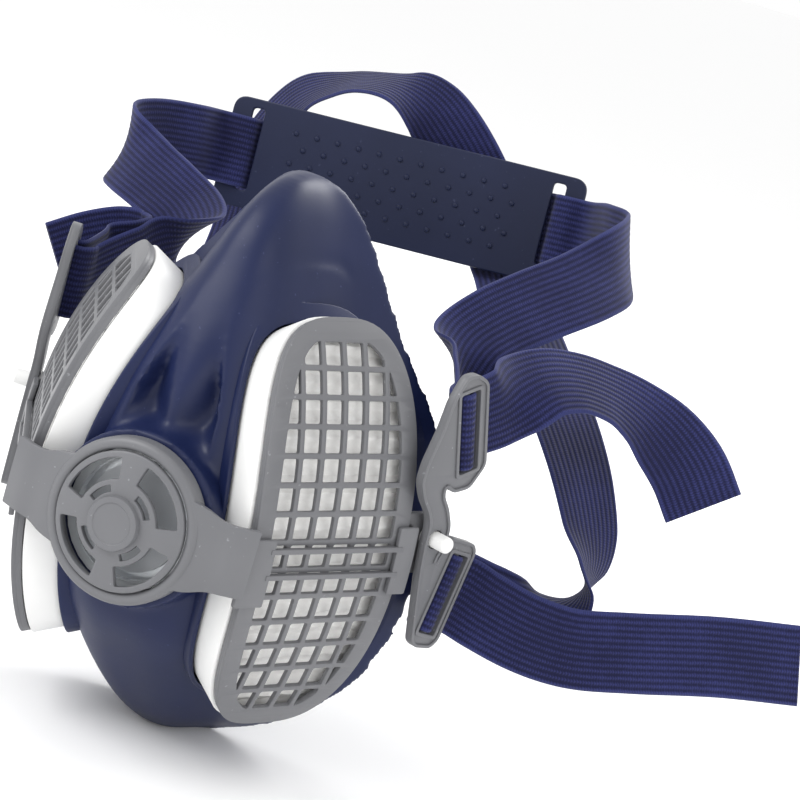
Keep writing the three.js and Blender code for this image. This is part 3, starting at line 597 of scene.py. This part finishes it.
def superellipse(grow, count=140):
    angles = np.linspace(0, 2 * math.pi, 2881)
    bow = lambda v: np.sign(v) * np.abs(v) ** (2 / FILTER_POWER)
    fine = np.stack([(FILTER_HALF[0] + grow) * bow(np.cos(angles)),
                     (FILTER_HALF[1] + grow) * bow(np.sin(angles))], axis=1)
    lengths = np.concatenate([[0], np.cumsum(np.linalg.norm(np.diff(fine, axis=0), axis=1))])
    goals = np.arange(count) / count * lengths[-1]
    return np.stack([np.interp(goals, lengths, fine[:, k]) for k in (0, 1)], axis=1)


def bent(mesh, step=3.0):
    reach = FILTER_HALF[1] + 4
    return mapped(sliced(mesh, (0, 1, 0), -reach, reach, step), on_filter)


def clipped(polygon, border):
    """What is left of a convex polygon inside a border that turns anticlockwise."""
    points = [np.asarray(p, float) for p in polygon]
    for a, b in zip(border, np.roll(border, -1, axis=0)):
        side = lambda p: (b[0] - a[0]) * (p[1] - a[1]) - (b[1] - a[1]) * (p[0] - a[0])
        kept = []
        for k, p in enumerate(points):
            following = points[(k + 1) % len(points)]
            here, there = side(p), side(following)
            if here >= 0:
                kept.append(p)
            if here * there < 0:
                kept.append(p + (following - p) * here / (here - there))
        points = kept
        if not points:
            break
    return points


def grille_holes():
    border = superellipse(-GRILLE_RIM, 90)
    holes = []
    for column in range(-GRID_COLUMNS, GRID_COLUMNS):
        for row in range(-GRID_ROWS, GRID_ROWS):
            centre = ((column + 0.5) * GRID_PITCH[0], (row + 0.5) * GRID_PITCH[1])
            cell = rectangle(GRID_PITCH[0] - GRID_BAR, GRID_PITCH[1] - GRID_BAR, centre)
            hole = clipped(cell, border)
            if len(hole) > 2 and abs(area_of(hole)) > 4:
                holes.append(rounded(hole, 0.45, 2))
    return holes


def make_grille():
    grid = plate(superellipse(0), GRID_BACK, 0, grille_holes(), 0.22)
    rim = plate(superellipse(0), GRILLE_BACK, GRID_BACK + 0.3, [superellipse(1 - GRILLE_RIM)], 0.15)
    return joined(bent(grid, GRID_SLICE), bent(rim, GRID_SLICE))


def make_frame():
    wall = plate(superellipse(0.7), FRAME_BACK, FRAME_FRONT, [superellipse(0.7 - FRAME_WALL)], 0.3)
    floor = plate(superellipse(-0.6), FRAME_BACK, FRAME_BACK + 1.2, [superellipse(-5)], 0.2)
    return joined(bent(wall), bent(floor))


def make_media():
    """Folded paper: soft pleats across the filter, cut to the inside of the frame."""
    outline = superellipse(0.7 - FRAME_WALL - 0.3, 200)
    top = FRAME_FRONT - 0.4
    shares = np.linspace(0, 1, 27)
    rows = np.arange(-FILTER_HALF[1] + 1.6, FILTER_HALF[1] - 1.5, 0.36)
    half_width = np.interp(np.abs(rows), outline[:51, 1], outline[:51, 0])
    rings = []
    for y, half in zip(rows, half_width):
        x = (2 * shares - 1) * max(half, 0.5)
        crest = np.abs(((y / PLEAT_PITCH) % 1) * 2 - 1) ** 0.8
        wander = 0.25 * np.sin(x * 0.55 + y * 0.9) + 0.18 * np.sin(x * 1.3 - y * 0.37)
        z = top - PLEAT_DEPTH * crest - np.abs(wander)
        upper = np.stack([x, np.full_like(x, y), z], axis=1)
        lower = np.stack([x[::-1], np.full_like(x, y), np.full_like(x, FRAME_BACK + 1.6)], axis=1)
        rings.append(np.vstack([upper, lower]))
    return mapped(loft(rings), on_filter)


# ---- facepiece ------------------------------------------------------------------------------
def face_ring(height, front, half_width, back, inset, lift):
    depth = max(back - front - inset - lift, 1.2)
    half = smooth_path([(x * max(half_width - inset, 0.6), front + inset + y * depth)
                        for x, y in FACE_OUTLINE], 5)
    right = [(x, y, height) for x, y in half]
    return right + [(-x, y, height) for x, y in half[:0:-1]]


def face_levels(steps=4):
    return smooth_path([np.array(level, float) for level in FACE_LEVELS], steps)


def face_solid(inset, lift):
    squeeze = lambda z: z - math.copysign(1, z - 10) * inset * min(1, abs(z - 10) / 60)
    return loft([face_ring(squeeze(z), *rest, inset, lift) for z, *rest in face_levels()])


def seal_opening():
    rings = []
    for z, _, half_width, back in face_levels()[4:-4]:
        half = max(half_width - SEAL_LIP, 1.5)
        low, high = back - 6, back + 8
        rings.append([(x, y, 10 + (z - 10) * 0.86)
                      for x, y in ((-half, low), (half, low), (half, high), (-half, high))])
    return loft(rings)


def fairing(grow, start, end, spread, steps=6):
    rings = []
    for t in np.linspace(0, 1, steps):
        outline = superellipse(grow + spread * t, 80)
        rings.append(on_filter(np.column_stack([outline, np.full(80, start + (end - start) * t)])))
    return loft(rings)


def cylinder(radius, low, high, steps=72):
    return lathe([(0, low), (radius, low), (radius, high), (0, high)], steps)


def filter_block(grow, low, high):
    return bent(plate(superellipse(grow, 110), low, high, bevel=0.02))


def port_rim():
    """The flange round a filter with the collar that stands up beside the filter's white wall."""
    flange_back = FLANGE_FRONT - PORT_FLANGE
    outline = rim_outline(2.4)
    base = plate(outline, flange_back, FLANGE_FRONT, bevel=0.4)
    collar = plate(outline, FLANGE_FRONT - 1, FLANGE_FRONT + COLLAR_HEIGHT,
                   [superellipse(1.1, 110)], 0.4)
    return bent(base), bent(collar)


def rim_outline(grow):
    """The filter's outline, carried further out at its top end."""
    outline = superellipse(grow, 110)
    outline[:, 1] += RIM_PEAK * np.clip(outline[:, 1] / FILTER_HALF[1], 0, 1) ** 4
    return outline


def make_facepiece():
    flange_back = FLANGE_FRONT - PORT_FLANGE
    flange = filter_block(1.8, flange_back, FLANGE_FRONT - 0.4)
    blend = fairing(2.0, flange_back + 1.5, FLANGE_FRONT - 21, 8)
    housing = forward(cylinder(HOUSING_RADIUS, -14, -HOUSING_FRONT))
    solid = joined(face_solid(0, 0), flange, mirrored(flange), blend, mirrored(blend), housing)
    skin = with_modifiers(solid, ("REMESH", {"mode": "VOXEL", "voxel_size": 0.8}))
    skin = softened(skin)
    for rim in port_rim():
        for part in (rim, mirrored(rim)):
            skin = with_modifiers(skin, ("BOOLEAN", {"operation": "UNION", "object": part}))
    keep = filter_block(1.6, flange_back, FLANGE_FRONT + 1)
    cavity = mapped(face_solid(FACE_WALL, SEAL_THICKNESS + EDGE_ROUNDING),
                    lambda p: p + np.column_stack([0 * p[:, 0], valleys(p), 0 * p[:, 0]]))
    for wall in (keep, mirrored(keep), forward(cylinder(HOUSING_RADIUS - 0.6, -9, 0))):
        cavity = with_modifiers(cavity, ("BOOLEAN", {"operation": "DIFFERENCE", "object": wall}))
    room = filter_block(1.3, FLANGE_FRONT, 8)
    bore = mapped(cylinder(PORT_BORE, FLANGE_FRONT - 22, FLANGE_FRONT + 1), on_flat)
    recess = mapped(cylinder(SEAT_RADIUS + 0.3, FLANGE_FRONT - 2, FLANGE_FRONT + 1), on_flat)
    valve_bore = forward(cylinder(14.2, -20, 0))
    valve_recess = forward(cylinder(EXHALE_SEAT_RADIUS + 0.3, -6.3, 0))
    tools = [cavity, seal_opening(), room, mirrored(room), bore, mirrored(bore), recess,
             mirrored(recess), valve_bore, valve_recess]
    for tool in tools:
        skin = with_modifiers(skin, ("BOOLEAN", {"operation": "DIFFERENCE", "object": tool}))
    return skin


def seal_distance(points):
    """How far each point lies in front of the seal's rear edge."""
    levels = np.array(FACE_LEVELS[::-1], float)
    return np.interp(points[:, 2], levels[:, 0], levels[:, 3]) - points[:, 1]


def valleys(points):
    """Depth of the two hollows that part the nose from the filter ports."""
    middle = np.interp(points[:, 2], (20, 45, 68), (5, 12.5, 18))
    share = np.clip((points[:, 2] - 12) / 12, 0, 1) * np.clip((76 - points[:, 2]) / 14, 0, 1)
    front = np.clip((seal_distance(points) - 9) / 9, 0, 1)
    return VALLEY_DEPTH * share * front * np.exp(-((np.abs(points[:, 0]) - middle) / VALLEY_WIDTH) ** 2)


def softened(mesh):
    """Sinks the valleys and smooths the skin, least at the flanges and the seal's edge."""
    work = bmesh.new()
    work.from_mesh(mesh)
    points = np.array([v.co[:] for v in work.verts])
    near = SEAL_HOLD * np.clip((SEAL_BAND - seal_distance(points)) / 4, 0, 1)
    for side in (1, -1):
        local = (points * (side, 1, 1) - FILTER_CENTRE) @ np.stack([ACROSS, ALONG, OUTWARD]).T
        level = local[:, 2] + local[:, 1] ** 2 / (2 * FILTER_BEND)
        inside = (np.abs(local[:, 0] / 27) ** 3 + np.abs(local[:, 1] / 58) ** 3) < 1
        near = np.maximum(near, inside * np.clip((level - (FLANGE_FRONT - 4.6)) / 1.5, 0, 1))
    radius = np.hypot(points[:, 0], points[:, 2])
    near = np.maximum(near, (radius < HOUSING_RADIUS + 1.2) * np.clip((5.5 - points[:, 1]) / 1.5, 0, 1))
    free = 1 - 0.8 * near
    edges = np.array([[v.index for v in e.verts] for e in work.edges])
    count = np.bincount(edges.ravel(), minlength=len(points))[:, None]
    points[:, 1] += valleys(points) * (1 - near)
    # two steps inwards and one back outwards smooth with less shrinking
    for share in SMOOTHING_STEPS:
        total = np.zeros_like(points)
        np.add.at(total, edges[:, 0], points[edges[:, 1]])
        np.add.at(total, edges[:, 1], points[edges[:, 0]])
        points = points + (total / count - points) * (share * free[:, None])
    for vertex, point in zip(work.verts, points):
        vertex.co = point
    work.to_mesh(mesh)
    work.free()
    return mesh


# ---- exhalation valve and yoke ---------------------------------------------------------------
def make_cover():
    windows = []
    for k in range(4):
        windows.append(rounded(ring_sector(10, 14.8, 13 + 90 * k, 77 + 90 * k), 0.5, 2))
        windows.append(rounded(ring_sector(7.2, 8.7, 25 + 90 * k, 65 + 90 * k), 0.4, 2))
    disc = plate(circle(COVER_RADIUS, 110), 2.6, 4.2, windows, 0.25)
    for direction in ((1, 0, 0), (0, 1, 0)):
        sliced(disc, direction, -16, 16.1, 2)
    mapped(disc, lambda p: p + np.stack([
        0 * p[:, 0], 0 * p[:, 0],
        2.6 * (1 - (np.hypot(p[:, 0], p[:, 1]) / COVER_RADIUS) ** 2)], axis=1))
    boss = lathe([(0, 5), (6.3, 5), (6.3, 7.6), (6.15, 7.9), (5.8, 8), (4.9, 8), (4.7, 7.8), (0, 7.8)])
    return forward(joined(disc, boss))


def over_filter(x, y, low, high, bevel=0.25, corner=0.6):
    outline = rounded(rectangle(x[1] - x[0], y[1] - y[0], (sum(x) / 2, sum(y) / 2)), corner)
    return bent(plate(outline, low, high, bevel=bevel), 2.0)


def make_yoke():
    edge = FILTER_HALF[0]
    onto = on_filter(np.array([[-edge - 2, -7, 1.2]]))[0]
    path = np.array([
        (15.5, -1.2, 2.6), (19, -0.9, 1.8), (23, -0.3, 0.3), (26.5, 0.1, 0), (onto[0], onto[1], 0),
    ])
    rows = smooth_path(path, 8)
    rings = []
    for k, (x, y, flare) in enumerate(rows):
        t = k / (len(rows) - 1)
        turn = np.array([0, -YOKE_THICKNESS]) * (1 - t) + OUTWARD[:2] * 2 * t
        section = rounded([(0, ARM_HEIGHT / 2 + flare), (0, -ARM_HEIGHT / 2 - flare),
                           (1, -ARM_HEIGHT / 2 - flare), (1, ARM_HEIGHT / 2 + flare)], 0.35, 2)
        lift = ARM_RISE * t ** 2
        rings.append([(x + o * turn[0], y + o * turn[1], z + lift) for o, z in section])
    arm = loft(rings)
    hook = over_filter((-edge - 2.8, -edge + 5.2), (-15.2, 1.2), 0.3, 1.6)
    ribs = joined(*(over_filter((-edge + 4, edge - 2), (y - 0.6, y + 0.6), 0.3, 1.8, 0.15, 0.2)
                    for y in (-1.6, -7.8)))
    tab = over_filter((edge - 3.5, edge + 1.9), (-13, 3.6), 0.3, 1.6)
    step = over_filter((edge + 1.1, edge + 1.9), (-9, 3.6), -3.6, 1.3, 0.1, 0.1)
    ear = over_filter((edge + 1.1, edge + 9.6), (-9, 6.4), -3.6, -1.5)
    ring = lathe([
        (RING_INSIDE, -1.2), (RING_RADIUS, -1.2), (RING_RADIUS, 2.2), (RING_RADIUS - 0.25, 2.9),
        (RING_RADIUS - 0.8, 3.4), (RING_RADIUS - 1.4, 3.6), (RING_INSIDE + 0.9, 3.6),
        (RING_INSIDE + 0.3, 3.4), (RING_INSIDE, 3)], 96)
    well = forward(cylinder(RING_INSIDE - 0.02, -6, 9, 96))
    side = with_modifiers(arm, ("BOOLEAN", {"operation": "DIFFERENCE", "object": well}))
    half = joined(side, hook, ribs, tab, step, ear)
    return joined(forward(ring), half, mirrored(half))


# ---- strap brackets, drawn flat as (back, up, out) -------------------------------------------------
BRACKET_OUTLINE = np.array([
    (1.8, -8), (3, -12.5), (4.4, -18), (6.2, -24.8), (8, -26.2), (13.6, -26.6), (15.8, -24.6),
    (19.8, -1.6), (18.4, 0.6), (9.6, 2.2), (7.8, -0.8), (6.2, -4.8), (6.6, -2.6), (8, 0.6),
    (7.6, 5), (5, 9.4), (2.2, 12.4), (1.8, 14.8), (4.6, 13.3), (10, 14.7), (13.4, 20.9),
    (5.4, 41.3), (1.2, 42.9), (-2.6, 41.9), (-5, 35.5), (-5.6, 28.5), (-7.4, 20), (-7.4, 15.4),
    (-4.8, 11.2), (-1.4, 7.8), (0.2, 4.8), (0.4, 0),
], float)
BRACKET_BACK = np.array([math.cos(BRACKET_YAW), math.sin(BRACKET_YAW), 0])
BRACKET_OUT = np.array([math.sin(BRACKET_YAW), -math.cos(BRACKET_YAW), 0])


def on_bracket(swing):
    turn = np.array([(math.cos(swing), math.sin(swing)), (-math.sin(swing), math.cos(swing))])

    def place(points):
        points = np.atleast_2d(points)
        flat = (points[:, :2] - PIN_SPOT) @ turn + PIN_SPOT
        return (BRACKET_ORIGIN + flat[:, 0:1] * BRACKET_BACK + points[:, 2:3] * BRACKET_OUT
                + flat[:, 1:2] * np.array([0, 0, 1]))
    return place


def inset(loop, distance):
    ahead = np.roll(loop, -1, axis=0) - np.roll(loop, 1, axis=0)
    inwards = np.stack([-ahead[:, 1], ahead[:, 0]], axis=1) / np.linalg.norm(ahead, axis=1)[:, None]
    return loop + inwards * distance * np.sign(area_of(loop))


def make_bracket(swing):
    outline = rounded(BRACKET_OUTLINE, 1.6, 5)
    windows = [rounded(rectangle(*SLOT, spot, -lean), 0.7) for spot, lean in (UPPER_SLOT, LOWER_SLOT)]
    pin_hole = circle(2.35, 32, PIN_SPOT)
    floor = plate(outline, -BRACKET_HALF, 0.75, [pin_hole, *windows], 0.2)
    rim = plate(outline, 0.4, BRACKET_HALF, [inset(outline, 0.85)], 0.15)
    frames, bars = [], []
    for spot, lean in (UPPER_SLOT, LOWER_SLOT):
        surround = rounded(rectangle(SLOT[0] + 1.8, SLOT[1] + 1.8, spot, -lean), 1.0)
        window = rounded(rectangle(*SLOT, spot, -lean), 0.7)
        frames.append(plate(surround, 0.4, BRACKET_HALF, [window], 0.15))
        bar = rectangle(SLOT_BAR[0], SLOT[1] + 1, spot, -lean)
        bars.append(plate(bar, -BRACKET_HALF, SLOT_BAR[1] - BRACKET_HALF, bevel=0.2))
    return mapped(joined(floor, rim, *frames, *bars), on_bracket(swing))


def make_pin():
    turned = lathe([(0, -1.9), (2.9, -1.9), (2.9, -1.5), (2, -1.5), (2, 4.4), (1.85, 4.95), (1.5, 5.3),
                    (0.9, 5.45), (0, 5.5)], 48)
    return mapped(turned, lambda p: on_bracket(0)(np.column_stack([
        p[:, 0] + PIN_SPOT[0], p[:, 1] + PIN_SPOT[1], p[:, 2]])))


# ---- head cradle, drawn flat as (wearer's left, up, towards the face) --------------------------------
def unit(vector):
    return np.asarray(vector, float) / np.linalg.norm(vector)


CRADLE_SIDE = unit((0.978, 0.199, 0.064))
CRADLE_UP = unit(np.cross(unit((0.19, -0.97, 0.13)), CRADLE_SIDE))
CRADLE_FACE = np.cross(CRADLE_SIDE, CRADLE_UP)


def on_cradle(points):
    return CRADLE_CENTRE + np.atleast_2d(points) @ np.stack([CRADLE_SIDE, CRADLE_UP, CRADLE_FACE])


def make_cradle():
    width, height, thickness = CRADLE_SIZE
    slots = [rounded(rectangle(*CRADLE_SLOT, (side * CRADLE_SLOT_REACH, 1.2)), 1.2) for side in (-1, 1)]
    body = plate(rounded(rectangle(width, height), 4, 10), -thickness / 2, thickness / 2, slots, 0.35)
    dots = []
    for row in range(5):
        for column in range(11):
            x = (column - 5) * 6.1 + (1.5 if row % 2 else -1.5)
            dot = lathe([(0, 0.6), (0.85, 0.6), (0.8, 1.0), (0.55, 1.3), (0, 1.45)], 16)
            dots.append(mapped(dot, lambda p, x=x, row=row: p + (x, (row - 2) * 4.3, 0)))
    return mapped(joined(body, *dots), on_cradle)


# ---- harness straps: each station is the strap's middle and the way its upper edge points ------------
def round_bar(slot, side):
    (spot_back, spot_up), lean = slot
    place = on_bracket(0 if side > 0 else RIGHT_SIDE_SWING)

    def flat(across, up, out):
        x = across * math.cos(-lean) - up * math.sin(-lean)
        y = across * math.sin(-lean) + up * math.cos(-lean)
        return place([[spot_back + x, spot_up + y, out]])[0] * (side, 1, 1)

    turn, depth = ((size + STRAP_THICKNESS) / 2 + STRAP_SLACK for size in SLOT_BAR)
    middle = SLOT_BAR[1] / 2 - BRACKET_HALF
    angles = np.radians((-90, -45, 0, 45, 90))
    arc = [(turn * math.sin(a), middle + depth * math.cos(a)) for a in angles]
    steps = [(3.4, -7), (-0.6, -5), (-turn, -3), *arc, (turn, -1.6), (3.4, -3.1)]
    return [(*flat(a, 0, o), *(flat(a, 1, o) - flat(a, 0, o))) for a, o in steps]


def through_cradle(side):
    steps = [(15, -3.4), (30, -3.4), (40.5, -3.2), (43.2, -1.6), (44.8, 1.4), (47.5, 2.4), (53, 2.6)]
    return [(*on_cradle((side * reach, 0, out))[0], *CRADLE_UP) for reach, out in steps]


UPPER_LEFT_SIDE = [
    (49, 141, 80, -0.2, -0.1, 0.97), (58, 129, 80.5, -0.35, 0.1, 0.93),
    (60.5, 116, 77.5, -0.45, 0.3, 0.84), (57, 103, 71.5, -0.5, 0.4, 0.77),
    (50.5, 91.5, 65, -0.5, 0.4, 0.77), (45, 82, 59, -0.52, 0.42, 0.74),
    (42, 74.5, 53.5, -0.56, 0.45, 0.7), (42.5, 68, 48.5, -0.5, 0.3, 0.81),
    (46, 61.5, 44.5, -0.35, 0, 0.94),
]
UPPER_LEFT_TAIL = [
    (59, 59.5, 43.4, -0.2, -0.1, 0.97), (61, 65, 47.2, -0.4, 0.35, 0.84),
    (64.5, 71, 51, -0.42, 0.66, 0.62), (70, 78, 52.4, -0.42, 0.74, 0.52),
    (77.5, 85, 51.2, -0.38, 0.74, 0.55), (85, 90, 48.2, -0.25, 0.62, 0.74),
    (92, 93, 44, 0, 0.42, 0.9), (99, 95, 38.3, 0.25, 0.3, 0.92),
    (105.5, 95.5, 30.5, 0.5, 0.35, 0.79),
]
UPPER_RIGHT_SIDE = [
    (-71.5, 133, 70, -0.1, 0, 0.99), (-77.5, 121, 69.5, -0.12, 0.1, 0.98),
    (-79.5, 111, 67.8, -0.15, 0.35, 0.92), (-76, 102, 65.5, -0.1, 0.5, 0.86),
    (-68, 96, 63.5, -0.05, 0.6, 0.8), (-58, 92, 61, 0, 0.65, 0.76),
    (-48.5, 88.5, 58, 0.05, 0.7, 0.72), (-42, 82, 54.5, 0.1, 0.7, 0.7),
    (-41, 74, 50, 0.25, 0.5, 0.82), (-45.5, 67, 45.5, 0.3, 0.2, 0.92),
]
UPPER_RIGHT_TAIL = [
    (-57, 68, 41.2, 0.1, 0.05, 0.99), (-52.5, 74.5, 43.8, 0, -0.2, 0.97),
    (-50.8, 81, 45.4, -0.2, -0.3, 0.92), (-54.2, 85.5, 45.8, -0.35, -0.35, 0.86),
    (-60, 84.5, 44.6, -0.45, -0.35, 0.81), (-66, 78.5, 41.4, -0.52, -0.4, 0.75),
    (-71.5, 71, 36.6, -0.6, -0.4, 0.68),
]
LOWER_LEFT_TAIL = [
    (61.6, 63, -4.6, 0.03, 0.12, 0.98), (68, 65, -6.4, -0.05, 0.05, 0.99),
    (79, 68, -8.6, -0.1, 0, 0.99), (90, 71.5, -8.8, -0.1, 0, 0.99), (104, 74, -5, -0.12, 0, 0.99),
    (124, 76.5, 1.5, -0.18, -0.06, 0.98), (143, 78, 6.5, -0.25, -0.1, 0.96),
]
LOWER_LEFT_ROUTE = [
    (57.8, 67, -4.6, 0, 0.15, 0.99), (65, 74.5, -7, -0.05, 0.2, 0.98),
    (73, 82, -8.6, -0.25, 0.45, 0.86), (79.5, 89.5, -6.8, -0.6, 0.75, 0.35),
    (83, 94.5, -1.6, -0.4, 0.9, -0.1), (82.5, 97.5, 6, 0.1, 0.97, -0.1),
    (78.5, 101, 14, 0.4, 0.91, 0.1), (71, 106, 24.5, 0.55, 0.83, 0.1),
    (61, 114, 34, 0.68, 0.72, 0.1), (50, 124, 41.5, 0.78, 0.62, 0.1),
    (38, 138, 47.5, 0.83, 0.52, 0.15), (26, 154, 53, 0.88, 0.4, 0.2),
    (16, 167, 60.5, 0.93, 0.25, 0.2), (6, 172, 71, 0.95, 0.15, 0.25),
]
LOWER_RIGHT_ROUTE = [
    (6, 172, 71, 0.95, 0.15, 0.25), (-3.5, 171, 82.5, 0.92, 0.22, 0.32),
    (-12.4, 167, 91.6, 0.8, 0.45, 0.4), (-19.3, 164, 97, 0.6, 0.7, 0.4),
    (-27.1, 161, 99.5, 0.35, 0.88, 0.33), (-37.2, 160, 98.4, 0, 0.95, 0.3),
    (-46.5, 161, 94.6, -0.35, 0.9, 0.25), (-54.1, 162, 90.2, -0.6, 0.76, 0.2),
    (-60.4, 163.5, 84, -0.75, 0.62, 0.1), (-63.5, 162, 75, -0.85, 0.5, 0),
    (-63, 159.5, 63, -0.94, 0.3, 0), (-60, 154, 51, -0.9, 0.38, 0.15),
    (-56, 142, 38, -0.76, 0.55, 0.3), (-52.5, 121, 23, -0.5, 0.6, 0.62),
    (-52.5, 105, 11.5, -0.3, 0.5, 0.81), (-53.5, 90, 3.5, -0.1, 0.3, 0.95),
    (-54, 77, -0.5, 0, 0.15, 0.98),
]
LOWER_RIGHT_TAIL = [
    (-60.2, 62.8, -5.3, 0, 0.1, 0.99), (-61.5, 72, -7, 0, 0, 1), (-62.5, 84, -9.5, 0, 0, 1),
    (-62.5, 96, -12, 0, 0, 1),
]


def strap_section():
    """Outline of the webbing: soft ribs on each face and round selvedges."""
    across = np.linspace(-0.5, 0.5, 61)
    half = STRAP_THICKNESS / 2
    rib = RIB_HEIGHT * np.abs(np.sin(np.pi * (across + 0.5) * STRAP_WIDTH / RIB_PITCH)) ** 0.7
    edge = np.sqrt(np.clip(1 - (np.abs(across) * 2) ** 24, 0, 1))
    top = np.stack([across * STRAP_WIDTH, (half - RIB_HEIGHT + rib) * edge], axis=1)
    bottom = top[::-1] * (1, -1)
    return np.vstack([top, bottom[1:-1]])


def make_strap(name, stations):
    stations = np.array(stations, float)
    steps = 9
    path = smooth_path(stations[:, :3], steps)
    shares = np.arange(len(path)) / steps
    edges = stations[:, 3:] / np.linalg.norm(stations[:, 3:], axis=1)[:, None]
    edge = np.stack([np.interp(shares, np.arange(len(edges)), edges[:, k]) for k in range(3)], axis=1)
    for _ in range(6):
        edge[1:-1] = (edge[:-2] + 2 * edge[1:-1] + edge[2:]) / 4
    ahead = np.gradient(path, axis=0)
    ahead /= np.linalg.norm(ahead, axis=1)[:, None]
    edge -= ahead * np.sum(edge * ahead, axis=1)[:, None]
    edge /= np.linalg.norm(edge, axis=1)[:, None]
    face = np.cross(ahead, edge)
    section = strap_section()
    rings = path[:, None] + section[None, :, :1] * edge[:, None] + section[None, :, 1:] * face[:, None]
    mesh = loft(rings)
    travelled = np.concatenate([[0], np.cumsum(np.linalg.norm(np.diff(path, axis=0), axis=1))])
    u = np.concatenate([np.repeat(travelled, len(section)), travelled[[0, -1]]]) * MM
    v = np.concatenate([np.tile(section[:, 0], len(path)), [0, 0]]) * MM
    layer = mesh.uv_layers.new(name="weave")
    corners = np.empty(len(mesh.loops), int)
    mesh.loops.foreach_get("vertex_index", corners)
    layer.data.foreach_set("uv", np.stack([u[corners], v[corners]], axis=1).ravel())
    strap = show(name, mesh, WEBBING, 60)
    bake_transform(strap)
    return strap


def make_harness():
    middle = [(*on_cradle((0, 0, -3.4))[0], *CRADLE_UP)]
    pieces = {
        ("upper_strap", "left"): [
            *middle, *through_cradle(1), *UPPER_LEFT_SIDE, *round_bar(UPPER_SLOT, 1), *UPPER_LEFT_TAIL,
        ],
        ("upper_strap", "right"): [
            *middle, *through_cradle(-1), *UPPER_RIGHT_SIDE, *round_bar(UPPER_SLOT, -1),
            *UPPER_RIGHT_TAIL,
        ],
        ("lower_strap", "left"): [*LOWER_LEFT_ROUTE[::-1], *round_bar(LOWER_SLOT, 1), *LOWER_LEFT_TAIL],
        ("lower_strap", "right"): [*LOWER_RIGHT_ROUTE, *round_bar(LOWER_SLOT, -1), *LOWER_RIGHT_TAIL],
    }
    for (node, side), stations in pieces.items():
        strap = make_strap(f"{node}_{side}", stations)
        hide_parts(node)


# ---- the object -------------------------------------------------------------------------------
def stand_in(name, node, body, mesh, material, sharp=38):
    thing = show(name, mesh, material, sharp)
    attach(thing, body)
    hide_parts(node)


def make_both_sides():
    left_meshes = {
        "filter_grille": (make_grille(), GREY_PLASTIC), "filter_frame": (make_frame(), WHITE_PLASTIC),
        "filter_media": (make_media(), FLEECE), "bracket_pin": (make_pin(), WHITE_PLASTIC),
    }
    for part, (mesh, material) in left_meshes.items():
        for side, shape in (("left", mesh), ("right", mirrored(mesh))):
            stand_in(f"{side}_{part}_shell", f"{side}_{part}", "root", shape, material)
    for side, shape in (("left", make_bracket(0)), ("right", mirrored(make_bracket(RIGHT_SIDE_SWING)))):
        bracket = f"{side}_strap_bracket"
        stand_in(f"{side}_bracket_plate", bracket, bracket, shape, GREY_PLASTIC)


def finish_cad_nodes():
    finishes = {
        "exhale_valve_seat": CLEAR, "exhale_flap": SILICONE, "left_filter_gasket": GASKET_FOAM,
        "right_filter_gasket": GASKET_FOAM, "left_inhale_seat": CLEAR, "right_inhale_seat": CLEAR,
        "left_inhale_flap": SILICONE, "right_inhale_flap": SILICONE,
    }
    for node, material in finishes.items():
        thing = bpy.data.objects[node]
        thing.data.materials.clear()
        thing.data.materials.append(material)


make_camera()
make_studio()
stand_in("facepiece_skin", "facepiece", "root", make_facepiece(), NAVY_RUBBER, 50)
stand_in("valve_cover_disc", "valve_cover", "root", make_cover(), GREY_PLASTIC)
stand_in("yoke_moulding", "yoke", "root", make_yoke(), GREY_PLASTIC)
make_both_sides()
stand_in("cradle_plate", "head_cradle", "root", make_cradle(), CRADLE_PLASTIC, 20)
make_harness()
finish_cad_nodes()
